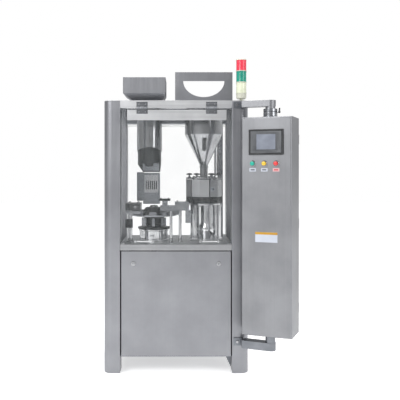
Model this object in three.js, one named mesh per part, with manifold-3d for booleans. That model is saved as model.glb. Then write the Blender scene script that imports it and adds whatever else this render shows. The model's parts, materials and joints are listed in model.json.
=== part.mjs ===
// Automatic capsule filling machine: corner-post cabinet, capsule and powder feeds, turret, dosing
// head, base drive and a control cabinet on two fixed arms. Millimetres, +Z up. While it is built, X is
// across the front with the body's centre at 0, Y is depth with the posts' front plane at 0, and Z is
// height above the floor. The last lines move the origin to the bottom centre of the whole machine.

import * as THREE from "three";
import { ConvexGeometry } from "three/addons/geometries/ConvexGeometry.js";
import { mergeVertices } from "three/addons/utils/BufferGeometryUtils.js";
import Module from "manifold-3d";

const wasm = await Module();
wasm.setup();

// Clearances
const GAP = 0.3; // between pieces that seat on each other
const RUNNING = 0.6; // radial, round a shaft or a sliding piece
const ROOF_HOLE = 3; // radial, round what passes through the roof

// Body
const BODY_WIDTH = 913;
const BODY_DEPTH = 610;
const FRAME_HEIGHT = 1720;
const POST = 104; // side of a square corner post
const POST_RADIUS = 50; // its outer corner
const POST_EDGE = 6; // its three other corners
const POST_WALL = 4;
const ROOF_SHEET = 3;
const HEADER_HEIGHT = 48;
const HEADER_DEPTH = 40;
const REAR_HEADER_HEIGHT = 109;
const DECK_TOP = 812;
const DECK_THICKNESS = 12;
const DECK_RIM = 27; // width of the raised rails at the deck's sides
const DECK_RIM_HEIGHT = 6;
const SILL_HEIGHT = 38;
const SILL_DEPTH = 30;
const PANEL_BOTTOM = 108; // height of the lower panels above the floor
const PANEL_TOP_GAP = 6;
const PANEL_SHEET = 6;
const PANEL_RECESS = 4; // front panel behind the posts' front plane
const PANEL_SIDE_GAP = 7;
const PAN_SHEET = 6;
const GUSSET = 44;
const KNOB_REACH = 15; // side panel's pull
const KNOB_Y = 300;
const KNOB_HEIGHT = 715;
const KNOB_PULL_RADIUS = 13;
const LOCK_INSET = 76; // from the front panel's edge
const LOCK_DROP = 78; // below its top
const LOCK_RADIUS = 8;
const LOCK_HEAD = 14.5; // radius

const HALF = BODY_WIDTH / 2;
const INSIDE = HALF - POST; // half the opening between the posts
const REAR_FRONT = BODY_DEPTH - POST; // front plane of the rear posts
const HEADER_BOTTOM = FRAME_HEIGHT - HEADER_HEIGHT;
const ROOF_UNDER = FRAME_HEIGHT - ROOF_SHEET;

// Windows
const PANE = 8;
const PANE_SIDE_GAP = 2;
const SIDE_PANE = 6;
const PANE_BOTTOM_GAP = 6; // above the deck
const RAIL_SHEET = 2; // steel rail across the top of the front window
const RAIL_WIDTH = 626;
const RAIL_HEIGHT = 66;
const RAIL_DROP = 11; // below the header
const WINDOW_FRONT = RAIL_SHEET + GAP;
const WINDOW_BACK = WINDOW_FRONT + PANE;
const HINGE_WIDTH = 70;
const HINGE_X = 219; // hinge centres, each side of the middle of the header
const HINGE_SHIFT = 5;
const HINGE_LEAF = 38;
const LEAF_SHEET = 2.7;
const KNUCKLE = 6; // radius
const HANDLE_X = 205; // handle centres on the front window
const HANDLE_LENGTH = 110;
const HANDLE_HEIGHT = 19; // above the deck
const HANDLE_REACH = 28;
const HANDLE_BAR = 5; // radius

// Turret
const TURRET_INSET = 202.5; // axis from the left posts' inner faces
const TURRET_X = TURRET_INSET - INSIDE;
const TURRET_Y = 270;
const DRUM_RADIUS = 100;
const DRUM_HEIGHT = 76;
const DISC_BOTTOM = DECK_TOP + 164;
const SEGMENT_RADIUS = 168; // out to the segments' faces
const SEGMENTS = 12;
const SEGMENT_LENGTH = 46;
const SEGMENT_WIDTH = 48;
const SEGMENT_TOP = DISC_BOTTOM + 32;
const HUB_RADIUS = 92;
const HUB_SKIRT = 107;
const HUB_NECK = 64;
const HUB_TOP = DECK_TOP + 222;
const SPINDLE = 20; // radius
const SPINDLE_END = DECK_TOP - 172;
const STATION_CLEAR = 10; // above the turning segments
const STATION_REACH = 20; // past the dosing bowl's left side

// Capsule side
const FEED_OFFSET = -34; // drop tube's axis from the turret's
const FEED_X = TURRET_X + FEED_OFFSET;
const FEED_Y = 350;
const DROP_RADIUS = 85;
const SHEET = 3; // hopper and tube walls
const DROP_BOTTOM = DECK_TOP + 596;
const DROP_ARCH = 29;
const BIN_OFFSET = -28; // bin's middle from the tube's axis
const BIN_X = FEED_X + BIN_OFFSET;
const BIN_WIDTH = 283;
const BIN_TOP = FRAME_HEIGHT + 177;
const BIN_BOTTOM = FRAME_HEIGHT + 72;
const BIN_OUTLET = FRAME_HEIGHT + 25;
const BIN_MOUTH_SHIFT = 16; // the mouth reaches further left than the tube
const FEEDER_TOP = DECK_TOP + 451;
const FEEDER_BOTTOM = DECK_TOP + 240;
const FEEDER_RIGHT = FEED_X + 71;
const FEEDER_WIDTH = 112;
const FEEDER_DEPTH = 120;
const FEEDER_WING = 44;
const FUNNEL_SHOULDER = FEEDER_TOP + 57;
const PLATE_HALF = 47; // slotted plate on the magazine
const PLATE_SHEET = 6;
const PLATE_SLOTS = 6;
const PLATE_PITCH = 14;
const PLATE_SLOT = 7;

// Powder side
const POWDER_INSET = 166.5; // axis from the right posts' inner faces
const POWDER_X = INSIDE - POWDER_INSET;
const POWDER_Y = 290;
const HOPPER_RADIUS = 127;
const HOPPER_TOP = FRAME_HEIGHT + 35;
const CONE_TOP = DECK_TOP + 707;
const CONE_BOTTOM = DECK_TOP + 500;
const OUTLET_RADIUS = 26;
const OUTLET_BOTTOM = DECK_TOP + 384;
const SIGHT_SLOT = 16; // width
const HOOD_SIDE = 372;
const HOOD_SHIFT = 7; // the hood's middle left of the hopper's
const HOOD_TOP = FRAME_HEIGHT + 195;
const HOOD_FRONT = 110;
const MOON_WIDTH = 266;
const MOON_TOP = FRAME_HEIGHT + 137;
const MOON_DEEP = 103;
const BOWL_X = POWDER_X + 2;
const BOWL_RADIUS = 124;
const BOWL_WALL = 10;
const BOWL_BOTTOM = DECK_TOP + 249;
const BOWL_BAND = 43; // height of its lower band
const BOWL_FLOOR = 8;
const BOWL_TOP = DECK_TOP + 406;
const BOWL_BORE = SPINDLE - 6;
const DISC_HEIGHT = 20;
const TAMP_LIFT = 4; // tamping plate above the bowl's rim
const TAMP_PLATE = 10;
const TAMP_PIN = 9; // radius
const TAMP_PIN_CIRCLE = 70;
const KNOBS = 6;
const KNOB_RADIUS = 22;
const KNOB_CIRCLE = 100;
const KNOB_STEM = 18;
const KNOB_HEIGHT_ABOVE = 11;
const STAND_FRONT = 236;
const STAND_BACK = 366;
const STAND_PLATE = 10;
const STAND_HEAD = 110; // radius
const COLUMN_RADIUS = 33;
const REAR_COLUMN = [104, 138]; // right of the hopper's axis
const REAR_COLUMN_DEPTH = 36;

// Control cabinet on its arms
const PIVOT_X = HALF + 122.5;
const PIVOT_Y = -108;
const CABINET_TURN = -22.5; // degrees about the pivot
const CABINET_WIDTH = 310;
const CABINET_DEPTH = 204;
const CABINET_BOTTOM = 281;
const CABINET_TOP = FRAME_HEIGHT - 120;
const CABINET_EDGE = 10; // radius of the upright edges
const CABINET_SHEET = 3;
const DOOR_SHEET = 3.7;
const COLLAR_RADIUS = 42.5;
const COLLAR_TOP = CABINET_TOP + 55;
const COLLAR_FLANGE = 12;
const NECK_RADIUS = 30;
const UPPER_ARM = [FRAME_HEIGHT - 50, FRAME_HEIGHT - 12];
const LOWER_ARM = [CABINET_BOTTOM - 103, CABINET_BOTTOM - 55];
const ARM_WIDTH = 66;
const BRACKET_INSET = 10; // from the post's inner edge
const BRACKET_WIDTH = 56;
const BRACKET_SHEET = 8;
const SCREEN_WIDTH = 212;
const SCREEN_HEIGHT = 153;
const SCREEN_BOTTOM = CABINET_TOP - 228;
const SCREEN_INSET = 8; // casing inside the screen's rim
const SCREEN_PROUD = 9;
const SCREEN_CASING = 40;
const BUTTON_FIRST = 72; // from the cabinet's left edge
const BUTTON_PITCH = 72;
const BUTTON_HEIGHT = CABINET_TOP - 280;
const BUTTON_RADIUS = 13;
const BUTTON_BEZEL = 5; // wider than the button
const BUTTON_STEM = 8;
const BUTTON_CAP = 11;
const BUTTON_TRAVEL = 4;
const LEVER_SCREW = 5; // radius
const LEVER_DROP = 19; // below the collar's top
const LEVER_REACH = 26;

// Signal tower
const TOWER_X = HALF - 40.5;
const TOWER_Y = 52;
const TOWER_RADIUS = 33.5;
const TOWER_BOTTOM = FRAME_HEIGHT + 14;
const TOWER_FOOT = 36; // height of the body under the first lens
const TOWER_FLANGE = 18;
const TOWER_POLE = 8;
const TOWER_CAP = 9;
const LENS_HEIGHT = 66;
const LENS_SPACER = 6;

// Base drive
const SHAFT_Y = 210;
const SHAFT_Z = 430;
const SHAFT_RADIUS = 15;
const MOTOR_Y = 430;
const MOTOR_Z = 230;
const PULLEY_X = 110;
const PULLEY_WIDTH = 30;
const DRIVE_PULLEY = 40; // radius
const DRIVEN_PULLEY = 80;
const BELT = 6;
const SHAFT_END = 270; // half the length between the pedestals
const PEDESTAL = 30;
const CAMS = [-200, -140, -80, -20, 200];
const CAM_RADIUS = 58;
const CAM_THROW = 16;
const CAM_WIDTH = 18;
const INDEXER_TOP = SPINDLE_END - 10;
const MOTOR_STUB = 14; // radius

// Finishes
const finish = (color, roughness, metalness) =>
  new THREE.MeshStandardMaterial({ color, roughness, metalness });
const BRUSHED = finish(0xa8acb6, 0.38, 1);
const LIGHT_STEEL = finish(0xb8babe, 0.35, 1);
const POLISHED = finish(0xd0d2d6, 0.12, 1);
const DARK_STEEL = finish(0x4a4c52, 0.4, 1);
const ACRYLIC = finish(0xe8eef0, 0.05, 0);
const BLACK = finish(0x1c1c1e, 0.5, 0);
const PAINT = finish(0x5a6672, 0.5, 0);
const RUBBER = finish(0x202020, 0.9, 0);

// Shapes

function slab(x0, x1, y0, y1, z0, z1) {
  const box = new THREE.BoxGeometry(x1 - x0, y1 - y0, z1 - z0);
  return box.translate((x0 + x1) / 2, (y0 + y1) / 2, (z0 + z1) / 2);
}

function upright(x, y, z0, z1, radius, topRadius = radius, sides = 20) {
  const rod = new THREE.CylinderGeometry(topRadius, radius, z1 - z0, sides);
  return rod.rotateX(Math.PI / 2).translate(x, y, (z0 + z1) / 2);
}

function acrossBar(x0, x1, y, z, radius, sides = 12) {
  const rod = new THREE.CylinderGeometry(radius, radius, x1 - x0, sides);
  return rod.rotateZ(-Math.PI / 2).translate((x0 + x1) / 2, y, z);
}

function deepBar(x, y0, y1, z, radius, sides = 12) {
  const rod = new THREE.CylinderGeometry(radius, radius, y1 - y0, sides);
  return rod.translate(x, (y0 + y1) / 2, z);
}

// A profile of [radius, height] points turned about an upright axis.
function turned(profile, x, y, sides = 28) {
  const points = profile.map(([r, z]) => new THREE.Vector2(r, z));
  return new THREE.LatheGeometry(points, sides).rotateX(Math.PI / 2).translate(x, y, 0);
}

function pipe(x, y, z0, z1, inner, outer, sides = 28) {
  const ring = [[inner, z0], [outer, z0], [outer, z1], [inner, z1], [inner, z0]];
  return turned(ring, x, y, sides);
}

// A rectangle with its own radius at each corner: front left, front right, back right, back left.
function rectangle(x0, x1, y0, y1, radii) {
  const [a, b, c, d] = radii;
  const outline = new THREE.Shape();
  outline.moveTo(x0 + a, y0);
  outline.lineTo(x1 - b, y0);
  outline.absarc(x1 - b, y0 + b, b, -Math.PI / 2, 0);
  outline.lineTo(x1, y1 - c);
  outline.absarc(x1 - c, y1 - c, c, 0, Math.PI / 2);
  outline.lineTo(x0 + d, y1);
  outline.absarc(x0 + d, y1 - d, d, Math.PI / 2, Math.PI);
  outline.lineTo(x0, y0 + a);
  outline.absarc(x0 + a, y0 + a, a, Math.PI, 1.5 * Math.PI);
  return outline;
}

function raised(outline, z0, z1, curveSegments = 4) {
  const options = { depth: z1 - z0, bevelEnabled: false, curveSegments };
  return new THREE.ExtrudeGeometry(outline, options).translate(0, 0, z0);
}

function rim(x0, x1, y0, y1, z) {
  return [[x0, y0], [x1, y0], [x1, y1], [x0, y1]].map(([x, y]) => new THREE.Vector3(x, y, z));
}

function circle(x, y, radius, z, count = 20) {
  return Array.from({ length: count }, (_, i) => {
    const angle = (i * 2 * Math.PI) / count;
    return new THREE.Vector3(x + radius * Math.cos(angle), y + radius * Math.sin(angle), z);
  });
}

function hull(...rings) {
  return new ConvexGeometry(rings.flat());
}

// Booleans

function solid(geometry) {
  const bare = geometry.clone();
  bare.deleteAttribute("normal");
  bare.deleteAttribute("uv");
  const merged = mergeVertices(bare, 1e-3);
  const vertProperties = merged.attributes.position.array;
  const triVerts = new Uint32Array(merged.index.array);
  const made = new wasm.Manifold(new wasm.Mesh({ numProp: 3, vertProperties, triVerts }));
  if (made.volume() > 0) return made;
  return new wasm.Manifold(new wasm.Mesh({ numProp: 3, vertProperties, triVerts: triVerts.reverse() }));
}

function shapeOf(manifold) {
  const mesh = manifold.getMesh();
  const geometry = new THREE.BufferGeometry();
  geometry.setAttribute("position", new THREE.BufferAttribute(mesh.vertProperties, 3));
  geometry.setIndex(new THREE.BufferAttribute(mesh.triVerts, 1));
  geometry.computeVertexNormals();
  return geometry;
}

function joined(...pieces) {
  return shapeOf(pieces.map(solid).reduce((whole, next) => whole.add(next)));
}

function without(body, ...tools) {
  return shapeOf(tools.map(solid).reduce((left, tool) => left.subtract(tool), solid(body)));
}

function common(body, limit) {
  return shapeOf(solid(body).intersect(solid(limit)));
}

const machine = new THREE.Group();

function add(name, geometry, material, parent = machine) {
  const piece = new THREE.Mesh(geometry, material);
  piece.name = name;
  parent.add(piece);
}

// Corner posts: folded steel, closed at the top, with a drain hole in each foot

function addPosts() {
  const top = ROOF_UNDER - GAP;
  for (const side of ["left", "right"]) {
    for (const end of ["front", "rear"]) {
      const x0 = side === "left" ? -HALF : INSIDE;
      const y0 = end === "front" ? 0 : REAR_FRONT;
      const corners = { left_front: 0, right_front: 1, right_rear: 2, left_rear: 3 };
      const radii = [0, 1, 2, 3].map((i) => (i === corners[`${side}_${end}`] ? POST_RADIUS : POST_EDGE));
      const inner = radii.map((r) => Math.max(r - POST_WALL, 1));
      const w = POST_WALL;
      const cavity = rectangle(x0 + w, x0 + POST - w, y0 + w, y0 + POST - w, inner);
      const hole = upright(x0 + POST / 2, y0 + POST / 2, -1, 2 * w, 10, 10, 12);
      const body = raised(rectangle(x0, x0 + POST, y0, y0 + POST, radii), 0, top);
      add(`post_${end}_${side}`, without(body, raised(cavity, w, top - w), hole), BRUSHED);
    }
  }
}

function addTop() {
  const radii = [POST_RADIUS, POST_RADIUS, POST_RADIUS, POST_RADIUS];
  const sheet = raised(rectangle(-HALF, HALF, 0, BODY_DEPTH, radii), ROOF_UNDER, FRAME_HEIGHT);
  const reach = INSIDE - GAP;
  const front = slab(-reach, reach, 0, HEADER_DEPTH, HEADER_BOTTOM, ROOF_UNDER + 1);
  const near = POST + GAP;
  const far = REAR_FRONT - GAP;
  const left = slab(-HALF, -HALF + HEADER_DEPTH, near, far, HEADER_BOTTOM, ROOF_UNDER + 1);
  const right = slab(HALF - HEADER_DEPTH, HALF, near, far, HEADER_BOTTOM, ROOF_UNDER + 1);
  const dropHole = upright(FEED_X, FEED_Y, ROOF_UNDER - 1, FRAME_HEIGHT + 1, DROP_RADIUS + ROOF_HOLE);
  const z0 = ROOF_UNDER - 1;
  const powderHole = upright(POWDER_X, POWDER_Y, z0, FRAME_HEIGHT + 1, HOPPER_RADIUS + ROOF_HOLE);
  add("roof", without(joined(sheet, front, left, right), dropHole, powderHole), LIGHT_STEEL);
  const bottom = FRAME_HEIGHT - REAR_HEADER_HEIGHT;
  const rear = slab(-reach, reach, REAR_FRONT, BODY_DEPTH - PANE, bottom, ROOF_UNDER - GAP);
  add("rear_header", rear, LIGHT_STEEL);
}

function addDeck() {
  const reach = INSIDE - GAP;
  const plate = slab(-reach, reach, 0, BODY_DEPTH - PANE, DECK_TOP - DECK_THICKNESS, DECK_TOP);
  const sill = slab(-reach, reach, 0, SILL_DEPTH, DECK_TOP - SILL_HEIGHT, DECK_TOP);
  const railTop = DECK_TOP + DECK_RIM_HEIGHT;
  const near = WINDOW_BACK + GAP;
  const back = BODY_DEPTH - 2 * PANE;
  const rails = [slab(-reach, DECK_RIM - reach, near, back, DECK_TOP - 1, railTop)];
  rails.push(slab(reach - DECK_RIM, reach, near, back, DECK_TOP - 1, railTop));
  const z0 = DECK_TOP - DECK_THICKNESS - 1;
  const spindleHole = upright(TURRET_X, TURRET_Y, z0, DECK_TOP + 1, SPINDLE + RUNNING);
  add("deck", without(joined(plate, sill, ...rails), spindleHole), LIGHT_STEEL);
}

function addLowerPanels() {
  const top = DECK_TOP - PANEL_TOP_GAP;
  const near = POST + GAP;
  const far = REAR_FRONT - GAP;
  const outer = HALF - 2;
  const knob = acrossBar(-outer - KNOB_REACH, 2 - outer, KNOB_Y, KNOB_HEIGHT, KNOB_PULL_RADIUS);
  const left = slab(-outer, PANEL_SHEET - outer, near, far, PANEL_BOTTOM, top);
  add("side_panel_left", joined(left, knob), BRUSHED);
  add("side_panel_right", slab(outer - PANEL_SHEET, outer, near, far, PANEL_BOTTOM, top), BRUSHED);
  const reach = INSIDE - GAP;
  const rearTop = DECK_TOP - DECK_THICKNESS - GAP;
  const back = BODY_DEPTH - 2;
  add("rear_panel", slab(-reach, reach, back - PANEL_SHEET, back, PANEL_BOTTOM, rearTop), BRUSHED);
  const pan = slab(-reach, reach, 14, back - PANEL_SHEET - GAP, PANEL_BOTTOM - PAN_SHEET, PANEL_BOTTOM);
  const underPan = PANEL_BOTTOM - PAN_SHEET + 1;
  const corner = new THREE.Shape();
  corner.moveTo(reach, underPan);
  corner.lineTo(reach - GUSSET, underPan);
  corner.lineTo(reach, GUSSET / 4);
  const gusset = new THREE.ExtrudeGeometry(corner, { depth: 5, bevelEnabled: false });
  add("base_pan", joined(pan, gusset.rotateX(Math.PI / 2).translate(0, POST, 0)), DARK_STEEL);
}

function addFrontPanel() {
  const x = INSIDE - PANEL_SIDE_GAP;
  const top = DECK_TOP - SILL_HEIGHT - PANEL_TOP_GAP;
  const y0 = PANEL_RECESS;
  const y1 = PANEL_RECESS + PANEL_SHEET;
  const lockX = x - LOCK_INSET;
  const lockZ = top - LOCK_DROP;
  const bore = LOCK_RADIUS + RUNNING;
  const holes = [-lockX, lockX].map((at) => deepBar(at, y0 - 1, y1 + 1, lockZ, bore));
  add("front_panel", without(slab(-x, x, y0, y1, PANEL_BOTTOM, top), ...holes), BRUSHED);
  for (const [name, at] of [["left", -lockX], ["right", lockX]]) {
    const head = deepBar(at, y0 - GAP - 5, y0 - GAP, lockZ, LOCK_HEAD, 16);
    const spindle = deepBar(at, y0 - 2, y1 + 10, lockZ, LOCK_RADIUS);
    const tongue = slab(at - 9, at + 9, y1 + 4, y1 + 8, lockZ - 9, lockZ + 40);
    add(`panel_lock_${name}`, joined(head, spindle, tongue), POLISHED);
  }
}

// Windows: each hangs from its header, with the pane clear of the deck

function addFrontWindow() {
  const x = INSIDE - PANE_SIDE_GAP;
  const axisZ = HEADER_BOTTOM + 1;
  const axisY = -KNUCKLE - 1;
  const paneTop = HEADER_BOTTOM - 4;
  const bottom = DECK_TOP + PANE_BOTTOM_GAP;
  add("window_front", slab(-x, x, WINDOW_FRONT, WINDOW_BACK, bottom, paneTop), ACRYLIC);
  const railX = RAIL_WIDTH / 2;
  const railTop = HEADER_BOTTOM - RAIL_DROP;
  const rail = slab(HINGE_SHIFT - railX, HINGE_SHIFT + railX, 0, RAIL_SHEET, railTop - RAIL_HEIGHT, railTop);
  add("window_rail", rail, LIGHT_STEEL);
  for (const [name, side] of [["left", -1], ["right", 1]]) {
    const at = side * HINGE_X + HINGE_SHIFT;
    const half = HINGE_WIDTH / 2;
    const third = HINGE_WIDTH / 6;
    const y0 = -GAP - LEAF_SHEET;
    const clear = KNUCKLE + 2;
    const upper = slab(at - half, at + half, y0, -GAP, axisZ + clear, axisZ + HINGE_LEAF);
    const parts = [upper];
    for (const end of [-1, 1]) {
      const a = end < 0 ? at - half : at + third;
      const b = end < 0 ? at - third : at + half;
      parts.push(slab(a, b, y0, -GAP, axisZ + 1, axisZ + clear + 1));
      parts.push(acrossBar(a, b, axisY, axisZ, KNUCKLE));
    }
    add(`hinge_header_${name}`, joined(...parts), POLISHED);
    const lower = slab(at - half, at + half, y0, -GAP, axisZ - HINGE_LEAF, axisZ - clear);
    const inner = third - RUNNING;
    const tab = slab(at - inner, at + inner, y0, -GAP, axisZ - clear - 1, axisZ - 1);
    const knuckle = acrossBar(at - inner, at + inner, axisY, axisZ, KNUCKLE);
    add(`hinge_window_${name}`, joined(lower, tab, knuckle), POLISHED);
    const grip = side * HANDLE_X + HINGE_SHIFT;
    const z = DECK_TOP + HANDLE_HEIGHT;
    const a = grip - HANDLE_LENGTH / 2;
    const b = grip + HANDLE_LENGTH / 2;
    const bar = acrossBar(a - HANDLE_BAR, b + HANDLE_BAR, -HANDLE_REACH, z, HANDLE_BAR);
    const stems = [a, b].map((foot) => deepBar(foot, -HANDLE_REACH, RAIL_SHEET, z, HANDLE_BAR));
    add(`window_handle_${name}`, joined(bar, ...stems), POLISHED);
  }
}

function addOtherWindows() {
  const near = POST + 1;
  const far = REAR_FRONT - 1;
  const bottom = DECK_TOP + PANE_BOTTOM_GAP;
  const top = HEADER_BOTTOM - 8;
  const outer = HALF - 2.5;
  const handleZ = DECK_TOP + 56;
  const middle = (near + far) / 2;
  const pull = [slab(-outer - 15, -outer - 7, middle - 50, middle + 50, handleZ - 5, handleZ + 5)];
  for (const y of [middle - 45, middle + 45]) {
    pull.push(slab(-outer - 10, 1 - outer, y - 5, y + 5, handleZ - 5, handleZ + 5));
  }
  const left = slab(-outer, SIDE_PANE - outer, near, far, bottom, top);
  add("window_left", joined(left, ...pull), ACRYLIC);
  add("window_right", slab(outer - SIDE_PANE, outer, near, far, bottom, top), ACRYLIC);
  const x = INSIDE - PANE_SIDE_GAP;
  const back = BODY_DEPTH - 2;
  const rearTop = FRAME_HEIGHT - REAR_HEADER_HEIGHT - 3;
  const rail = slab(-x, x, back - PANE, back, rearTop - 13, rearTop);
  const pane = slab(-x, x, back - SIDE_PANE, back, bottom, rearTop);
  const gripZ = DECK_TOP + 34;
  const reach = back + 20;
  const grips = [-HANDLE_X, HANDLE_X].map((at) => slab(at - 45, at + 45, back - 1, reach, gripZ, gripZ + 12));
  add("window_rear", joined(pane, rail, ...grips), ACRYLIC);
}

// Capsule feed: open bin, drop tube, funnel and magazine

function addCapsuleFeed() {
  const half = BIN_WIDTH / 2;
  const outlet = DROP_RADIUS + 2;
  const x0 = BIN_X - half;
  const x1 = BIN_X + half;
  const y0 = FEED_Y - half;
  const y1 = FEED_Y + half;
  const box = slab(x0, x1, y0, y1, BIN_BOTTOM, BIN_TOP);
  const mouthLeft = FEED_X - outlet - BIN_MOUTH_SHIFT;
  const mouth = [mouthLeft, FEED_X + outlet, FEED_Y - outlet, FEED_Y + outlet];
  const taper = hull(rim(x0, x1, y0, y1, BIN_BOTTOM), rim(...mouth, BIN_OUTLET));
  const t = SHEET;
  const space = slab(x0 + t, x1 - t, y0 + t, y1 - t, BIN_BOTTOM - 1, BIN_TOP + 1);
  const inner = [mouth[0] + t, mouth[1] - t, mouth[2] + t, mouth[3] - t];
  const topRing = rim(x0 + t, x1 - t, y0 + t, y1 - t, BIN_BOTTOM);
  const slope = hull(topRing, rim(...inner, BIN_OUTLET + t));
  const throat = upright(FEED_X, FEED_Y, BIN_OUTLET - 1, BIN_OUTLET + 2 * t, DROP_RADIUS - t);
  add("capsule_hopper", without(joined(box, taper), space, slope, throat), BRUSHED);

  const tube = pipe(FEED_X, FEED_Y, DROP_BOTTOM, BIN_OUTLET - GAP, DROP_RADIUS - t, DROP_RADIUS);
  const archRadius = (DROP_ARCH ** 2 + DROP_RADIUS ** 2) / (2 * DROP_ARCH);
  const archZ = DROP_BOTTOM + DROP_ARCH - archRadius;
  const arch = deepBar(FEED_X, FEED_Y - 2 * DROP_RADIUS, FEED_Y, archZ, archRadius, 48);
  add("drop_tube", without(tube, arch), POLISHED);

  const neck = DROP_RADIUS - t - 2;
  const shoulder = FUNNEL_SHOULDER;
  const right = FEEDER_RIGHT;
  const depth = FEEDER_DEPTH / 2;
  const bottomRing = [right - FEEDER_WIDTH, right, FEED_Y - depth, FEED_Y + depth];
  const above = FEEDER_TOP + 5;
  const outerCone = hull(circle(FEED_X, FEED_Y, neck, shoulder), rim(...bottomRing, above));
  const liner = upright(FEED_X, FEED_Y, shoulder, DROP_BOTTOM + 60, neck, neck, 20);
  const inside = upright(FEED_X, FEED_Y, shoulder, DROP_BOTTOM + 61, neck - t, neck - t, 20);
  const [a, b, c, d] = bottomRing;
  const innerRing = rim(a + t, b - t, c + t, d - t, above - 1);
  const innerCone = hull(circle(FEED_X, FEED_Y, neck - t, shoulder), innerRing);
  add("funnel", without(joined(outerCone, liner), inside, innerCone), DARK_STEEL);

  const front = FEED_Y - depth + 16;
  const back = FEED_Y + depth;
  const left = right - FEEDER_WIDTH;
  const block = slab(left, right, front, back, FEEDER_BOTTOM, FEEDER_TOP);
  const wing = slab(left - FEEDER_WING, left + 1, front + 24, back, FEEDER_BOTTOM + 20, FEEDER_TOP + 4);
  const well = slab(left + 14, right - 14, front + 24, back - 14, FEEDER_BOTTOM + 60, FEEDER_TOP + 1);
  add("feeder_body", without(joined(block, wing), well), DARK_STEEL);

  const plateFront = front - GAP - PLATE_SHEET;
  const middle = (left + right) / 2;
  const [x2, x3] = [middle - PLATE_HALF, middle + PLATE_HALF];
  const plate = slab(x2, x3, plateFront, front - GAP, FEEDER_BOTTOM + 77, FEEDER_TOP - 14);
  const slots = [];
  for (let i = 0; i < PLATE_SLOTS; i += 1) {
    const at = middle + (i - (PLATE_SLOTS - 1) / 2) * PLATE_PITCH;
    const side = PLATE_SLOT / 2;
    slots.push(slab(at - side, at + side, plateFront - 1, front, FEEDER_BOTTOM + 99, FEEDER_TOP - 55));
  }
  add("feeder_plate", without(plate, ...slots), BRUSHED);
}

function addTurret() {
  const drumTop = DECK_TOP + DRUM_HEIGHT;
  const base = pipe(TURRET_X, TURRET_Y, DECK_TOP + GAP, drumTop, SPINDLE + RUNNING, DRUM_RADIUS);
  add("turret_base", base, POLISHED);
  const hub = [[0, SPINDLE_END], [SPINDLE, SPINDLE_END], [SPINDLE, drumTop + 2], [HUB_SKIRT, drumTop + 2]];
  hub.push([HUB_SKIRT, drumTop + 14], [HUB_NECK, drumTop + 14], [HUB_NECK + 6, DISC_BOTTOM - 4]);
  hub.push([HUB_RADIUS, DISC_BOTTOM], [HUB_RADIUS, DISC_BOTTOM + 14], [54, HUB_TOP]);
  hub.push([25, HUB_TOP], [25, HUB_TOP + 12], [0, HUB_TOP + 14]);
  add("turret_hub", turned(hub, TURRET_X, TURRET_Y), DARK_STEEL);
  const inner = HUB_RADIUS + RUNNING;
  const ring = pipe(TURRET_X, TURRET_Y, DISC_BOTTOM, DISC_BOTTOM + 12, inner, SEGMENT_RADIUS - 20);
  const parts = [ring];
  const start = SEGMENT_RADIUS - SEGMENT_LENGTH;
  const side = SEGMENT_WIDTH / 2;
  for (let i = 0; i < SEGMENTS; i += 1) {
    const block = slab(start, SEGMENT_RADIUS, -side, side, DISC_BOTTOM + 6, SEGMENT_TOP);
    block.rotateZ((i * 2 * Math.PI) / SEGMENTS);
    parts.push(block.translate(TURRET_X, TURRET_Y, 0));
  }
  add("turret_segments", joined(...parts), POLISHED);
}

// Fixed stations round the turret, each on two rods from the deck. Places are from the turret's axis.
function addStations() {
  const foot = DECK_TOP + GAP;
  const low = SEGMENT_TOP + STATION_CLEAR;
  const at = (x0, x1, y0, y1, z0, z1) => slab(x0, x1, y0, y1, z0, z1).translate(TURRET_X, TURRET_Y, 0);
  const rod = (x, y, radius) => upright(TURRET_X + x, TURRET_Y + y, foot, low + 10, radius, radius, 16);
  const cam = at(-180, -82, -140, 15, low, low + 46);
  const sensor = at(-180, -134, -140, -100, DECK_TOP + 93, DECK_TOP + 150);
  add("station_left", joined(rod(-162, -112, 8), rod(-144, -126, 8), cam, sensor), DARK_STEEL);
  const closing = at(46, 142, -170, -80, low, low + 32);
  const right = BOWL_X - BOWL_RADIUS + STATION_REACH - TURRET_X;
  const ejecting = at(141, right, -146, -74, low, low + 56);
  const guide = at(right - 24, right + 14, -130, -90, DECK_TOP + 123, low + 1);
  const cylinder = at(60, 94, -140, -100, low + 31, low + 64);
  const cap = at(40, 112, -166, -70, low + 63, low + 76);
  const rods = [rod(117, -158, 9), rod(176, -130, 9)];
  add("station_right", joined(...rods, closing, ejecting, guide, cylinder, cap), POLISHED);
}

// Powder feed: guard hood, hopper, dosing bowl and its stand

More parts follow.
